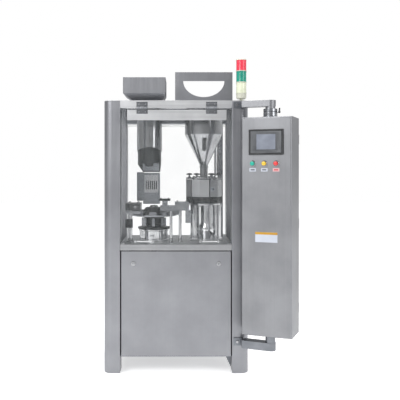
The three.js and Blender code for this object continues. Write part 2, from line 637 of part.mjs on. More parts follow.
function addPowderFeed() {
  const x0 = POWDER_X - HOOD_SHIFT - HOOD_SIDE / 2;
  const x1 = x0 + HOOD_SIDE;
  const y1 = HOOD_FRONT + HOOD_SIDE;
  const z0 = FRAME_HEIGHT + GAP;
  const outer = slab(x0, x1, HOOD_FRONT, y1, z0, HOOD_TOP);
  const inner = slab(x0 + SHEET, x1 - SHEET, HOOD_FRONT + SHEET, y1 + 1, z0 - 1, HOOD_TOP + 1);
  const oval = deepBar(0, HOOD_FRONT - 5, HOOD_FRONT + 20, 0, 1, 64);
  oval.scale(MOON_WIDTH / 2, 1, MOON_DEEP).translate((x0 + x1) / 2, 0, MOON_TOP);
  const belowTop = slab(x0, x1, HOOD_FRONT - 5, HOOD_FRONT + 20, z0, MOON_TOP);
  add("guard_hood", without(outer, inner, common(oval, belowTop)), BRUSHED);

  const t = SHEET;
  const R = HOPPER_RADIUS;
  const r = OUTLET_RADIUS;
  const shell = [[r, OUTLET_BOTTOM], [r, CONE_BOTTOM], [R, CONE_TOP], [R, HOPPER_TOP], [R - t, HOPPER_TOP]];
  shell.push([R - t, CONE_TOP + 1], [r - t, CONE_BOTTOM + 1], [r - t, OUTLET_BOTTOM], [r, OUTLET_BOTTOM]);
  const side = SIGHT_SLOT / 2;
  const [slotLow, slotHigh] = [CONE_BOTTOM + 100, CONE_TOP - 24];
  const slot = slab(POWDER_X - side, POWDER_X + side, POWDER_Y - R, POWDER_Y - r, slotLow, slotHigh);
  add("powder_hopper", without(turned(shell, POWDER_X, POWDER_Y), slot), POLISHED);
}

function addDosing() {
  const x = BOWL_X;
  const y = POWDER_Y;
  const R = BOWL_RADIUS;
  const inside = R - BOWL_WALL;
  const band = BOWL_BOTTOM + BOWL_BAND;
  const floor = band + BOWL_FLOOR;
  const bore = BOWL_BORE + RUNNING;
  const bowl = [[bore, BOWL_BOTTOM], [R - 4, BOWL_BOTTOM], [R - 4, band], [R, band], [R, BOWL_TOP]];
  bowl.push([inside, BOWL_TOP], [inside, floor], [bore, floor], [bore, BOWL_BOTTOM]);
  add("dosing_bowl", turned(bowl, x, y, 12), BRUSHED);
  const discLow = floor + 2;
  const discTop = discLow + DISC_HEIGHT;
  const rimRadius = inside - 8;
  const disc = [[0, BOWL_BOTTOM + 4], [BOWL_BORE, BOWL_BOTTOM + 4], [BOWL_BORE, discLow]];
  disc.push([rimRadius, discLow], [rimRadius, discTop], [0, discTop]);
  add("dosing_disc", turned(disc, x, y), POLISHED);
  const plateZ = BOWL_TOP + TAMP_LIFT;
  const opening = OUTLET_RADIUS + 6;
  const parts = [pipe(x, y, plateZ, plateZ + TAMP_PLATE, opening, BOWL_RADIUS - 2)];
  for (let i = 0; i < KNOBS; i += 1) {
    const angle = (i * 2 * Math.PI) / KNOBS;
    const kx = x + KNOB_CIRCLE * Math.cos(angle);
    const ky = y + KNOB_CIRCLE * Math.sin(angle);
    const z = plateZ + TAMP_PLATE;
    const headZ = z + KNOB_STEM;
    parts.push(upright(kx, ky, z - 1, headZ + 1, 6, 6, 8));
    parts.push(upright(kx, ky, headZ, headZ + KNOB_HEIGHT_ABOVE, KNOB_RADIUS, KNOB_RADIUS - 4, 12));
    const px = x + TAMP_PIN_CIRCLE * Math.cos(angle);
    const py = y + TAMP_PIN_CIRCLE * Math.sin(angle);
    parts.push(upright(px, py, discTop + 8, plateZ + 1, TAMP_PIN, TAMP_PIN, 8));
  }
  add("tamping_head", joined(...parts), POLISHED);
}

// The rear column runs up to the roof, with a rod tied to its side
function rearColumn(foot) {
  const top = ROOF_UNDER - GAP;
  const y = POWDER_Y + BOWL_RADIUS + 12;
  const [x0, x1] = REAR_COLUMN.map((x) => POWDER_X + x);
  const tongue = slab(x0, x1, STAND_BACK - 6, y + REAR_COLUMN_DEPTH, foot, foot + STAND_PLATE);
  const column = slab(x0, x1, y, y + REAR_COLUMN_DEPTH, foot, top);
  const rodX = x0 - 14;
  const rod = upright(rodX, y + 16, BOWL_TOP + 20, top, 12.5);
  const ties = [BOWL_TOP + 60, ROOF_UNDER - 120].map((z) => slab(rodX, x0 + 2, y + 8, y + 24, z, z + 24));
  return [tongue, column, rod, ...ties];
}

function addDosingStand() {
  const foot = DECK_TOP + GAP;
  const top = BOWL_BOTTOM - GAP;
  const plateTop = foot + STAND_PLATE;
  const base = slab(BOWL_X - 98, BOWL_X + 122, STAND_FRONT, STAND_BACK, foot, plateTop);
  const head = upright(BOWL_X, POWDER_Y, top - 12, top, STAND_HEAD, STAND_HEAD, 28);
  const flare = [[0, foot], [44, foot], [50, foot + 62], [50, foot + 88], [38, foot + 112]];
  flare.push([38, top - 1], [0, top - 1]);
  const centre = turned(flare, BOWL_X + 13, POWDER_Y - 20);
  const left = upright(BOWL_X - 61, POWDER_Y + 30, foot, top - 1, COLUMN_RADIUS);
  const right = upright(BOWL_X + 84, POWDER_Y + 30, foot, top - 1, COLUMN_RADIUS);
  add("dosing_stand", joined(base, head, centre, left, right, ...rearColumn(foot)), POLISHED);
}

// Arms and control cabinet

function armBar(z0, z1) {
  const start = new THREE.Vector2(INSIDE + BRACKET_INSET + BRACKET_WIDTH + 2, -ARM_WIDTH / 2 - 4);
  const end = new THREE.Vector2(PIVOT_X, PIVOT_Y);
  const length = start.distanceTo(end);
  const bar = slab(0, length, -ARM_WIDTH / 2, ARM_WIDTH / 2, z0, z1);
  return bar.rotateZ(end.clone().sub(start).angle()).translate(start.x, start.y, 0);
}

function addArms() {
  const x0 = INSIDE + BRACKET_INSET;
  const x1 = x0 + BRACKET_WIDTH;
  const parts = [["arm_upper", UPPER_ARM], ["arm_lower", LOWER_ARM]];
  for (const [name, [z0, z1]] of parts) {
    const plate = slab(x0, x1, -BRACKET_SHEET, -GAP, z0, z1);
    const web = slab(x1 - 10, x1, 4 - ARM_WIDTH, -GAP, z0, z1);
    const bolt = deepBar(x0 + 22, -BRACKET_SHEET - 6, 1 - BRACKET_SHEET, (z0 + z1) / 2, 8, 6);
    const end = upright(PIVOT_X, PIVOT_Y, z0, z1, ARM_WIDTH / 2);
    const neckFrom = name === "arm_upper" ? CABINET_TOP + 12 : z1 - 1;
    const neckTo = name === "arm_upper" ? z0 + 1 : CABINET_BOTTOM - GAP;
    const neck = upright(PIVOT_X, PIVOT_Y, neckFrom, neckTo, NECK_RADIUS);
    add(name, joined(armBar(z0, z1), plate, web, bolt, end, neck), BRUSHED);
  }
}

function addCabinet() {
  const cabinet = new THREE.Group();
  cabinet.position.set(PIVOT_X, PIVOT_Y, 0);
  cabinet.rotation.z = THREE.MathUtils.degToRad(CABINET_TURN);
  machine.add(cabinet);
  const x = CABINET_WIDTH / 2;
  const y = CABINET_DEPTH / 2;
  const t = CABINET_SHEET;
  const edge = CABINET_EDGE;
  const outline = rectangle(-x, x, -y, y, [edge, edge, edge, edge]);
  const block = raised(outline, CABINET_BOTTOM, CABINET_TOP);
  const doorFront = y - DOOR_SHEET;
  const front = slab(-x - 1, x + 1, -y - 1, doorFront - GAP, CABINET_BOTTOM - 1, CABINET_TOP + 1);
  const behind = slab(-x - 1, x - 3, doorFront, y + 1, CABINET_BOTTOM - 1, CABINET_TOP + 1);
  const cavity = slab(t - x, x - t, t - y, y + 1, CABINET_BOTTOM + t, CABINET_TOP - t);
  const screenX = SCREEN_WIDTH / 2;
  const screenTop = SCREEN_BOTTOM + SCREEN_HEIGHT;
  const bodyX = screenX - SCREEN_INSET;
  const z0 = SCREEN_BOTTOM + SCREEN_INSET;
  const z1 = screenTop - SCREEN_INSET;
  const cutOut = slab(-bodyX - 1, bodyX + 1, -y - 2, 2 * t - y, z0 - 1, z1 + 1);
  const tools = [cavity, cutOut];
  const bezels = [];
  const buttons = [["green", 0x28b4a0], ["yellow", 0xf5cd50], ["red", 0xeb4b4b]];
  buttons.forEach(([name, colour], i) => {
    const at = BUTTON_FIRST + i * BUTTON_PITCH - x;
    bezels.push(deepBar(at, -y - 4, 1 - y, BUTTON_HEIGHT, BUTTON_RADIUS + BUTTON_BEZEL, 20));
    tools.push(deepBar(at, -y - 5, 2 * t - y, BUTTON_HEIGHT, BUTTON_STEM + RUNNING));
    const capBack = -y - 5 - BUTTON_TRAVEL;
    const cap = deepBar(at, capBack - BUTTON_CAP, capBack, BUTTON_HEIGHT, BUTTON_RADIUS, 20);
    const rod = deepBar(at, capBack - 1, 14 - y, BUTTON_HEIGHT, BUTTON_STEM);
    add(`button_${name}`, joined(cap, rod), finish(colour, 0.35, 0), cabinet);
  });
  add("cabinet_shell", without(joined(common(block, front), ...bezels), ...tools), BRUSHED, cabinet);
  add("cabinet_door", common(block, behind), BRUSHED, cabinet);
  const face = slab(-screenX, screenX, -y - SCREEN_PROUD, -y - GAP, SCREEN_BOTTOM, screenTop);
  const casing = slab(-bodyX, bodyX, -y - 1, SCREEN_CASING - y, z0, z1);
  add("screen_panel", joined(face, casing), BLACK, cabinet);
  const bore = NECK_RADIUS + RUNNING;
  const z = CABINET_TOP + GAP;
  const flange = COLLAR_RADIUS + COLLAR_FLANGE;
  const collar = [[bore, z], [flange, z], [flange, z + 7], [COLLAR_RADIUS, z + 7]];
  collar.push([COLLAR_RADIUS, COLLAR_TOP], [bore, COLLAR_TOP], [bore, z]);
  add("cabinet_collar", turned(collar, 0, 0), LIGHT_STEEL, cabinet);
  const leverX = COLLAR_RADIUS + 1;
  const leverZ = COLLAR_TOP - LEVER_DROP;
  const screw = acrossBar(leverX, leverX + 16, 0, leverZ, LEVER_SCREW, 12);
  const grip = slab(leverX + 9, leverX + 17, -6, 6, leverZ - LEVER_SCREW, leverZ + LEVER_REACH);
  add("clamp_lever", joined(screw, grip), BLACK, cabinet);
}

function addTower() {
  const x = TOWER_X;
  const y = TOWER_Y;
  const foot = FRAME_HEIGHT + GAP;
  const rod = TOWER_POLE;
  const parts = [upright(x, y, foot, foot + 8, TOWER_FLANGE, TOWER_FLANGE, 24)];
  parts.push(upright(x, y, foot + 7, TOWER_BOTTOM + 4, rod, rod, 8));
  let z = TOWER_BOTTOM + TOWER_FOOT - LENS_SPACER;
  parts.push(upright(x, y, TOWER_BOTTOM, z + 1, TOWER_RADIUS, TOWER_RADIUS, 24));
  const lenses = [["cream", 0xf0f5e1], ["green", 0x1e8c78], ["red", 0xe24050]];
  for (const [name, colour] of lenses) {
    parts.push(upright(x, y, z, z + LENS_SPACER, TOWER_RADIUS, TOWER_RADIUS, 24));
    parts.push(upright(x, y, z + 1, z + LENS_SPACER + LENS_HEIGHT + 1, rod, rod, 8));
    z += LENS_SPACER;
    const lens = pipe(x, y, z + GAP, z + LENS_HEIGHT - GAP, rod + RUNNING, TOWER_RADIUS, 24);
    add(`lens_${name}`, lens, finish(colour, 0.3, 0));
    z += LENS_HEIGHT;
  }
  parts.push(upright(x, y, z, z + TOWER_CAP, TOWER_RADIUS, TOWER_RADIUS - 2, 24));
  add("tower_base", joined(...parts), finish(0xe6e8e2, 0.4, 0));
}

// Base drive: gear motor, belt, camshaft and the frame that carries the shaft and the indexer

function beltRing(grow) {
  const ring = (y, z, r) => circle(y, z, r + grow, 0, 32);
  const large = ring(SHAFT_Y, SHAFT_Z, DRIVEN_PULLEY + RUNNING);
  const small = ring(MOTOR_Y, MOTOR_Z, DRIVE_PULLEY + RUNNING);
  const width = PULLEY_WIDTH - 6 + (grow ? 0 : 2);
  const lower = [...large, ...small].map((p) => new THREE.Vector3(PULLEY_X - width / 2, p.x, p.y));
  const upper = lower.map((p) => new THREE.Vector3(PULLEY_X + width / 2, p.y, p.z));
  return hull(lower, upper);
}

function addDrive() {
  const floor = PANEL_BOTTOM + GAP;
  const end = SHAFT_END;
  const half = PEDESTAL / 2;
  const rail = slab(-end - 30, end + 30, SHAFT_Y - 60, SHAFT_Y + 60, floor, floor + 16);
  const tableY = [SHAFT_Y + 15, SHAFT_Y + 45];
  const tableZ = [SHAFT_Z + 120, SHAFT_Z + 136];
  const uprights = [];
  for (const at of [-end, end]) {
    uprights.push(slab(at - half, at + half, SHAFT_Y - 45, SHAFT_Y + 45, floor + 15, SHAFT_Z + 40));
    uprights.push(slab(at - half, at + half, ...tableY, SHAFT_Z + 39, tableZ[0] + 1));
  }
  const table = slab(-end - half, end + half, ...tableY, ...tableZ);
  const side = 90;
  const boxX = [TURRET_X - side, TURRET_X + side];
  const indexer = slab(...boxX, TURRET_Y - side, TURRET_Y + side, tableZ[0] + 5, INDEXER_TOP);
  const bores = acrossBar(-end - 130, end + 130, SHAFT_Y, SHAFT_Z, SHAFT_RADIUS + RUNNING, 16);
  add("drive_frame", without(joined(rail, ...uprights, table, indexer), bores), PAINT);

  const shaft = [acrossBar(-end - 25, end + 25, SHAFT_Y, SHAFT_Z, SHAFT_RADIUS)];
  const pulleyHalf = PULLEY_WIDTH / 2;
  const wheelFrom = PULLEY_X - pulleyHalf + 4;
  const wheelTo = PULLEY_X + pulleyHalf - 4;
  shaft.push(acrossBar(wheelFrom, wheelTo, SHAFT_Y, SHAFT_Z, DRIVEN_PULLEY, 32));
  CAMS.forEach((at, i) => {
    const angle = (i * 2 * Math.PI) / CAMS.length;
    const cy = SHAFT_Y + CAM_THROW * Math.cos(angle);
    const cz = SHAFT_Z + CAM_THROW * Math.sin(angle);
    shaft.push(acrossBar(at - CAM_WIDTH / 2, at + CAM_WIDTH / 2, cy, cz, CAM_RADIUS, 20));
  });
  add("camshaft", joined(...shaft), LIGHT_STEEL);

  const boxEnd = PULLEY_X - pulleyHalf - 20;
  const boxStart = boxEnd - 110;
  const feet = slab(boxStart - 165, boxEnd, MOTOR_Y - 70, MOTOR_Y + 70, floor, floor + 12);
  const gearbox = slab(boxStart, boxEnd, MOTOR_Y - 62, MOTOR_Y + 62, floor + 11, MOTOR_Z + 70);
  const motor = acrossBar(boxStart - 225, boxStart + 1, MOTOR_Y, MOTOR_Z - 20, 68, 20);
  const bore = acrossBar(boxEnd - 40, boxEnd + 1, MOTOR_Y, MOTOR_Z, MOTOR_STUB + RUNNING);
  add("gear_motor", without(joined(feet, gearbox, motor), bore), PAINT);
  const stub = acrossBar(boxEnd - 38, PULLEY_X + pulleyHalf, MOTOR_Y, MOTOR_Z, MOTOR_STUB);
  const wheel = acrossBar(wheelFrom, wheelTo, MOTOR_Y, MOTOR_Z, DRIVE_PULLEY, 20);
  add("drive_pulley", joined(stub, wheel), LIGHT_STEEL);
  add("drive_belt", without(beltRing(BELT), beltRing(0)), RUBBER);
}

addPosts();
addTop();
addDeck();
addLowerPanels();
addFrontPanel();
addFrontWindow();
addOtherWindows();
addCapsuleFeed();
addTurret();
addStations();
addPowderFeed();
addDosing();
addDosingStand();
addArms();
addCabinet();
addTower();
addDrive();

// The row's origin is the bottom centre of the whole machine.
machine.updateMatrixWorld(true);
const extent = new THREE.Box3().setFromObject(machine, true);
const centre = extent.getCenter(new THREE.Vector3());
machine.position.set(-centre.x, -centre.y, -extent.min.z);
machine.updateMatrixWorld(true);

export default machine;
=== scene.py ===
"""The looks of an automatic capsule filling machine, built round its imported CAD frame."""

import json
import math

import bpy
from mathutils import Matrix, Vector

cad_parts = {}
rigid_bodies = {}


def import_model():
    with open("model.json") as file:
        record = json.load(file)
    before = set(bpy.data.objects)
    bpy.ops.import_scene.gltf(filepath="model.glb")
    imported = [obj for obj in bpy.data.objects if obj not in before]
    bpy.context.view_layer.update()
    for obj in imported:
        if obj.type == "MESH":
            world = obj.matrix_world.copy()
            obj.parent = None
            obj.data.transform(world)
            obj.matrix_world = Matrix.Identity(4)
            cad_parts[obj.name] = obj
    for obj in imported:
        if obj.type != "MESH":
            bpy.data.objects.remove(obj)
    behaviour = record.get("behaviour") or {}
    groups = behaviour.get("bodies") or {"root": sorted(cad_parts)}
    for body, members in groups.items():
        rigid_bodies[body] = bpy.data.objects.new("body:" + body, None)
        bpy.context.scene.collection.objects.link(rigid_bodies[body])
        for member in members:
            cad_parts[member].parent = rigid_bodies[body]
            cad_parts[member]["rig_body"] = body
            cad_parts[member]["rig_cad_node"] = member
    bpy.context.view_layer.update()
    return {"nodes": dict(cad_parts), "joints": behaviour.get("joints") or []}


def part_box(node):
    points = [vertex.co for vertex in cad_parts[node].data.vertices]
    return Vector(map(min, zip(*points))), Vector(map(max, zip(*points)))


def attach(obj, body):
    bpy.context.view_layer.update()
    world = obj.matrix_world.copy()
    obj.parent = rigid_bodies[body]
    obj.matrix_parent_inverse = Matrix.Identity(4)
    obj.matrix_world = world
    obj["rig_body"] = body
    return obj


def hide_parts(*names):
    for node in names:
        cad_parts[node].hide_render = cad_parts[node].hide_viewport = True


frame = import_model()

MM = 0.001
MERGE = 0.02 * MM  # points this near are one point
JOINT = {joint["name"]: joint for joint in frame["joints"]}
NODE = frame["nodes"]

bl_info = {
    "name": "Capsule filler looks",
    "version": (1, 0, 0),
    "blender": (4, 5, 0),
    "location": "View3D > Sidebar > Capsule filler",
    "description": "Models and finishes the pieces of a capsule filling machine round its frame",
    "category": "Object",
}


# Places taken from the frame. Everything is in metres, except that edges, and the steps given to at() and
# rings(), are in millimetres.


def at(base, *steps):
    """The point that lies the given millimetres from a point, along each axis."""
    return tuple(start + step * MM for start, step in zip(base, steps))


def rings(radius, height, *steps):
    """Profile points (radius, height), each the given millimetres from one radius and one height."""
    return [at((radius, height), *step) for step in steps]


def low(node):
    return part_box(node)[0]


def high(node):
    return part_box(node)[1]


def middle(node):
    return (low(node) + high(node)) / 2


MID_X = (low("post_front_left").x + high("post_front_right").x) / 2
FRONT = low("post_front_left").y
PIVOT = Vector(JOINT["cabinet_swivel"]["pos_m"])
INWARD = JOINT["button_green_press"]["axis"]
CABINET_TURN = -math.atan2(INWARD[0], INWARD[1])

# Counts and sizes that the frame doesn't give

PANE_FACE = 0.05  # square metres: a larger face of a pane is one of its clear sides
LUGS, SEGMENTS, BOWL_PINS, DISC_CELLS, KNOBS, FINS = 8, 12, 6, 18, 6, 9
KNOB_CIRCLE = 100 * MM
SIGHT_LENGTH = 94 * MM
FLOOR_SIZE = 30
CAMERA_ASIDE = 25 * MM
CAMERA_SHIFT = (0.05, -0.0717)
WALL_GREYS = (0.5, 1.1, 0.08, 0.95, 0.06, 1.25, 0.14, 0.5)
WALL_TURNS = (0.0, 0.12, 0.24, 0.36, 0.5, 0.66, 0.84, 1.0)


# Selecting and finishing


def mode(name):
    bpy.ops.object.mode_set(mode=name)


def deselect():
    if bpy.context.object and bpy.context.object.mode != "OBJECT":
        mode("OBJECT")
    bpy.ops.object.select_all(action="DESELECT")


def activate(piece):
    deselect()
    piece.select_set(True)
    bpy.context.view_layer.objects.active = piece


def apply_place(piece):
    activate(piece)
    bpy.ops.object.transform_apply(location=True, rotation=True, scale=True)


def add_modifier(piece, kind, **settings):
    activate(piece)
    made = piece.modifiers.new(kind.title(), kind)
    for key, value in settings.items():
        setattr(made, key, value)
    bpy.ops.object.modifier_apply(modifier=made.name)


def soften(piece, width, segments=2, angle=35):
    """Rounds the piece's sharp edges, as any handled metal or moulding has them, and shades it smooth."""
    if width:
        settings = {"width": width * MM, "segments": segments, "limit_method": "ANGLE",
                    "use_clamp_overlap": True}
        add_modifier(piece, "BEVEL", angle_limit=math.radians(angle), **settings)
    activate(piece)
    bpy.ops.object.shade_smooth_by_angle(angle=math.radians(angle - 3))
    if width:
        add_modifier(piece, "WEIGHTED_NORMAL", keep_sharp=True)
    return piece


def mend(piece):
    activate(piece)
    mode("EDIT")
    bpy.ops.mesh.select_all(action="SELECT")
    bpy.ops.mesh.remove_doubles(threshold=MERGE)
    bpy.ops.mesh.normals_make_consistent(inside=False)
    mode("OBJECT")


# Shapes: each starts from a primitive and is shaped by edit operators


def block(lo, hi, edge=1, segments=2):
    deselect()
    lo, hi = Vector(lo), Vector(hi)
    bpy.ops.mesh.primitive_cube_add(size=1, location=(lo + hi) / 2, scale=hi - lo)
    piece = bpy.context.object
    apply_place(piece)
    return soften(piece, edge, segments)


def rounded_block(lo, hi, corners, radius, edge=1, segments=10):
    """A block whose upright edges near the given (x, y) corners get a large radius."""
    piece = block(lo, hi, 0)
    activate(piece)
    for edge_ in piece.data.edges:
        a, b = (piece.data.vertices[i].co for i in edge_.vertices)
        upright = abs(a.x - b.x) < 1e-6 and abs(a.y - b.y) < 1e-6
        near = any((Vector((a.x, a.y)) - Vector(corner)).length < 1e-4 for corner in corners)
        edge_.select = upright and near
    for vertex in piece.data.vertices:
        vertex.select = False
    for face in piece.data.polygons:
        face.select = False
    for edge_ in piece.data.edges:
        if edge_.select:
            for i in edge_.vertices:
                piece.data.vertices[i].select = True
    mode("EDIT")
    bpy.ops.mesh.select_mode(type="EDGE")
    bpy.ops.mesh.bevel(offset=radius, segments=segments, affect="EDGES")
    mode("OBJECT")
    return soften(piece, edge)


def turned(centre, profile, sides=64, edge=0.0, closed=False, arc=0.0):
    """A shape of revolution about an upright axis: a circle extruded and scaled through the (radius, height)
    profile. It is capped at both ends, or closed on itself where the profile returns to its start."""
    deselect()
    x, y = centre[0], centre[1]
    r, z = profile[0]
    bpy.ops.mesh.primitive_circle_add(vertices=sides, radius=r, location=(x, y, z), rotation=(0, 0, arc))
    piece = bpy.context.object
    apply_place(piece)
    mode("EDIT")
    bpy.ops.mesh.select_mode(type="VERT")
    bpy.ops.mesh.select_all(action="SELECT")
    if not closed:
        bpy.ops.mesh.edge_face_add()
        bpy.ops.mesh.select_all(action="SELECT")
    for radius, height in profile[1:]:
        if closed:
            bpy.ops.mesh.extrude_edges_move(TRANSFORM_OT_translate={"value": (0, 0, height - z)})
        else:
            bpy.ops.mesh.extrude_region_move(TRANSFORM_OT_translate={"value": (0, 0, height - z)})
        scale = radius / r
        bpy.ops.transform.resize(value=(scale, scale, 1), center_override=(x, y, height))
        r, z = radius, height
    mode("OBJECT")
    mend(piece)
    return soften(piece, edge)


def bar(start, end, radius, sides=24, edge=0.0):
    """A round bar between two points."""
    deselect()
    start, end = Vector(start), Vector(end)
    way = end - start
    bpy.ops.mesh.primitive_cylinder_add(vertices=sides, radius=radius, depth=way.length)
    piece = bpy.context.object
    piece.rotation_euler = way.to_track_quat("Z", "Y").to_euler()
    piece.location = (start + end) / 2
    apply_place(piece)
    return soften(piece, edge)


def bolt(spot, below, above, radius, finish="polished", edge=0.6):
    """A hexagon head through a point, from below it to above it in millimetres."""
    return paint(bar(at(spot, 0, 0, below), at(spot, 0, 0, above), radius * MM, 6, edge), finish)


def bush(spot, level, outer, inner, below, above, sides, finish):
    """A short tube standing a little proud of the plate it is pressed into."""
    wall = rings(0, level, (outer, below), (outer, above), (inner, above), (inner, below), (outer, below))
    return paint(turned(spot, wall, sides, 0, True), finish)


def footed_rod(spot, floor, foot, radius, top):
    """A ground rod standing in a polished foot: the foot, then the rod."""
    rod = [(radius, floor + 20 * MM), (radius, top)]
    return [paint(turned(spot, foot, 32, 0.6), "polished"), paint(turned(spot, rod, 32), "bright")]


def refined(node, edge=1, segments=2, angle=35):
    """A merged copy of a CAD node, with its flat faces made whole and its edges rounded."""
    deselect()
    piece = NODE[node].copy()
    piece.data = NODE[node].data.copy()
    piece.parent = None
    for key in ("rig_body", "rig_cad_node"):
        if key in piece:
            del piece[key]
    bpy.context.scene.collection.objects.link(piece)
    activate(piece)
    piece.data.materials.clear()
    mode("EDIT")
    bpy.ops.mesh.select_all(action="SELECT")
    bpy.ops.mesh.remove_doubles(threshold=MERGE)
    bpy.ops.mesh.dissolve_limited(angle_limit=math.radians(0.8))
    mode("OBJECT")
    return soften(piece, edge, segments, angle)


def cut(piece, *tools):
    for tool in tools:
        add_modifier(piece, "BOOLEAN", operation="DIFFERENCE", solver="EXACT", object=tool)
        bpy.data.objects.remove(tool)
    return piece


def joined(*parts):
    parts = [part for part in parts if part]
    deselect()
    for part in parts:
        part.select_set(True)
    bpy.context.view_layer.objects.active = parts[0]
    if len(parts) > 1:
        bpy.ops.object.join()
    return parts[0]


def spun(piece, centre, angle):
    """Turns a piece about an upright axis through centre, with the turn put in its mesh."""
    piece.location = -Vector((centre[0], centre[1], 0))
    apply_place(piece)
    piece.rotation_euler = (0, 0, angle)
    apply_place(piece)
    piece.location = Vector((centre[0], centre[1], 0))
    apply_place(piece)
    return piece


def put(piece, name, body, slot, finish, *replaced):
    """Names a finished piece, gives it its finish and its body, and hides the CAD nodes it stands for."""
    piece.name = name
    piece.data.name = name
    if finish and not piece.data.materials:
        piece.data.materials.append(MATERIALS[finish])
    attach(piece, body)
    if replaced:
        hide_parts(*replaced)
    return piece


def skin(piece, node, slot, finish=None, body="machine_frame"):
    """Puts in place the piece that stands for one CAD node."""
    return put(piece, node + "_skin", body, slot, finish, node)


def paint(piece, *finishes):
    piece.data.materials.clear()
    for finish in finishes:
        piece.data.materials.append(MATERIALS[finish])
    return piece


# Materials


def linear(code):
    """An sRGB hex colour as a linear RGBA colour."""
    parts = [int(code[i : i + 2], 16) / 255 for i in (0, 2, 4)]
    return tuple(c / 12.92 if c <= 0.04045 else ((c + 0.055) / 1.055) ** 2.4 for c in parts) + (1.0,)


def fill(tree, node, settings=(), links=()):
    """Sets a shader node's values or inputs, and links its inputs."""
    for key, value in dict(settings).items():
        if isinstance(key, int) or key in node.inputs:
            node.inputs[key].default_value = value
        else:
            setattr(node, key, value)
    for key, socket in dict(links).items():
        tree.links.new(socket, node.inputs[key])
    return node


def add_node(tree, kind, settings=(), links=()):
    """Adds one shader node with its settings and links."""
    return fill(tree, tree.nodes.new(kind), settings, links)


def new_material(name):
    made = bpy.data.materials.new(name)
    made.use_nodes = True
    tree = made.node_tree
    place = add_node(tree, "ShaderNodeTexCoord").outputs["Object"]
    return made, tree, tree.nodes["Principled BSDF"], place


def set_ramp(ramp, *stops):
    ramp.color_ramp.elements[0].position, ramp.color_ramp.elements[1].position = stops[0][0], stops[-1][0]
    ramp.color_ramp.elements[0].color, ramp.color_ramp.elements[1].color = stops[0][1], stops[-1][1]
    for position, colour in stops[1:-1]:
        ramp.color_ramp.elements.new(position).color = colour


def grained_metal(name, dark, light, rough, grain, bump=0.06, cloud=0.25):
    """Metal whose grain runs as streaks of the given size in metres along X, Y and Z, with slow clouds of
    handling and cleaning marks over it."""
    made, tree, shader, place = new_material(name)
    scale = tuple(1 / size for size in grain)
    stretch = add_node(tree, "ShaderNodeMapping", {"Scale": scale}, {"Vector": place})
    settings = {"Scale": 1.0, "Detail": 3.0, "Roughness": 0.6}
    streak = add_node(tree, "ShaderNodeTexNoise", settings, {"Vector": stretch.outputs["Vector"]})
    settings = {"Scale": 1 / cloud, "Detail": 4.0, "Roughness": 0.55}
    marks = add_node(tree, "ShaderNodeTexNoise", settings, {"Vector": place})
    both = add_node(tree, "ShaderNodeMath", {"operation": "MULTIPLY_ADD", 1: 0.35},
                    {0: streak.outputs["Fac"], 2: marks.outputs["Fac"]})
    ramp = add_node(tree, "ShaderNodeValToRGB", {}, {"Fac": both.outputs["Value"]})
    set_ramp(ramp, (0.52, linear(dark)), (0.86, linear(light)))
    spread = {"From Min": 0.3, "From Max": 0.7, "To Min": rough[0], "To Max": rough[1]}
    uneven = add_node(tree, "ShaderNodeMapRange", spread, {"Value": streak.outputs["Fac"]})
    relief = add_node(tree, "ShaderNodeBump", {"Strength": bump, "Distance": 0.0004},
                      {"Height": streak.outputs["Fac"]})
    fill(tree, shader, {"Metallic": 1.0}, {
        "Base Color": ramp.outputs["Color"],
        "Roughness": uneven.outputs["Result"],
        "Normal": relief.outputs["Normal"],
    })
    return made


def moulded(name, colour, deep, rough, grain=0.0006, ior=1.5, bump=0.12):
    """Moulded plastic or enamel: nearly even colour, with a fine texture from its mould or spray."""
    made, tree, shader, place = new_material(name)
    settings = {"Scale": 1 / grain / 6, "Detail": 2.0}
    fine = add_node(tree, "ShaderNodeTexNoise", settings, {"Vector": place})
    slow = add_node(tree, "ShaderNodeTexNoise", {"Scale": 18.0, "Detail": 3.0},
                    {"Vector": place})
    ramp = add_node(tree, "ShaderNodeValToRGB", {}, {"Fac": slow.outputs["Fac"]})
    set_ramp(ramp, (0.3, linear(deep)), (0.7, linear(colour)))
    spread = {"From Min": 0.3, "From Max": 0.7, "To Min": rough * 0.85, "To Max": rough * 1.15}
    uneven = add_node(tree, "ShaderNodeMapRange", spread, {"Value": slow.outputs["Fac"]})
    relief = add_node(tree, "ShaderNodeBump", {"Strength": bump, "Distance": 0.0003},
                      {"Height": fine.outputs["Fac"]})
    fill(tree, shader, {"IOR": ior}, {
        "Base Color": ramp.outputs["Color"],
        "Roughness": uneven.outputs["Result"],
        "Normal": relief.outputs["Normal"],
    })
    return made


def lens_plastic(name, colour, deep):
    """Ribbed polycarbonate of a signal lamp: fine upright ribs inside a glossy skin, lit through a little."""
    made, tree, shader, place = new_material(name)
    settings = {"Scale": 90.0, "Distortion": 0.0, "wave_type": "BANDS", "bands_direction": "DIAGONAL"}
    level = add_node(tree, "ShaderNodeMapping", {"Scale": (1, 1, 0)}, {"Vector": place})
    rib = add_node(tree, "ShaderNodeTexWave", settings, {"Vector": level.outputs["Vector"]})
    slow = add_node(tree, "ShaderNodeTexNoise", {"Scale": 30.0, "Detail": 2.0},
                    {"Vector": place})
    both = add_node(tree, "ShaderNodeMath", {"operation": "MULTIPLY_ADD", 1: 0.5},
                    {0: rib.outputs["Fac"], 2: slow.outputs["Fac"]})
    ramp = add_node(tree, "ShaderNodeValToRGB", {}, {"Fac": both.outputs["Value"]})
    set_ramp(ramp, (0.4, linear(deep)), (0.95, linear(colour)))
    colours = {"Base Color": ramp.outputs["Color"], "Emission Color": ramp.outputs["Color"]}
    fill(tree, shader, {"Emission Strength": 0.05, "Roughness": 0.22, "IOR": 1.58}, colours)
    return made


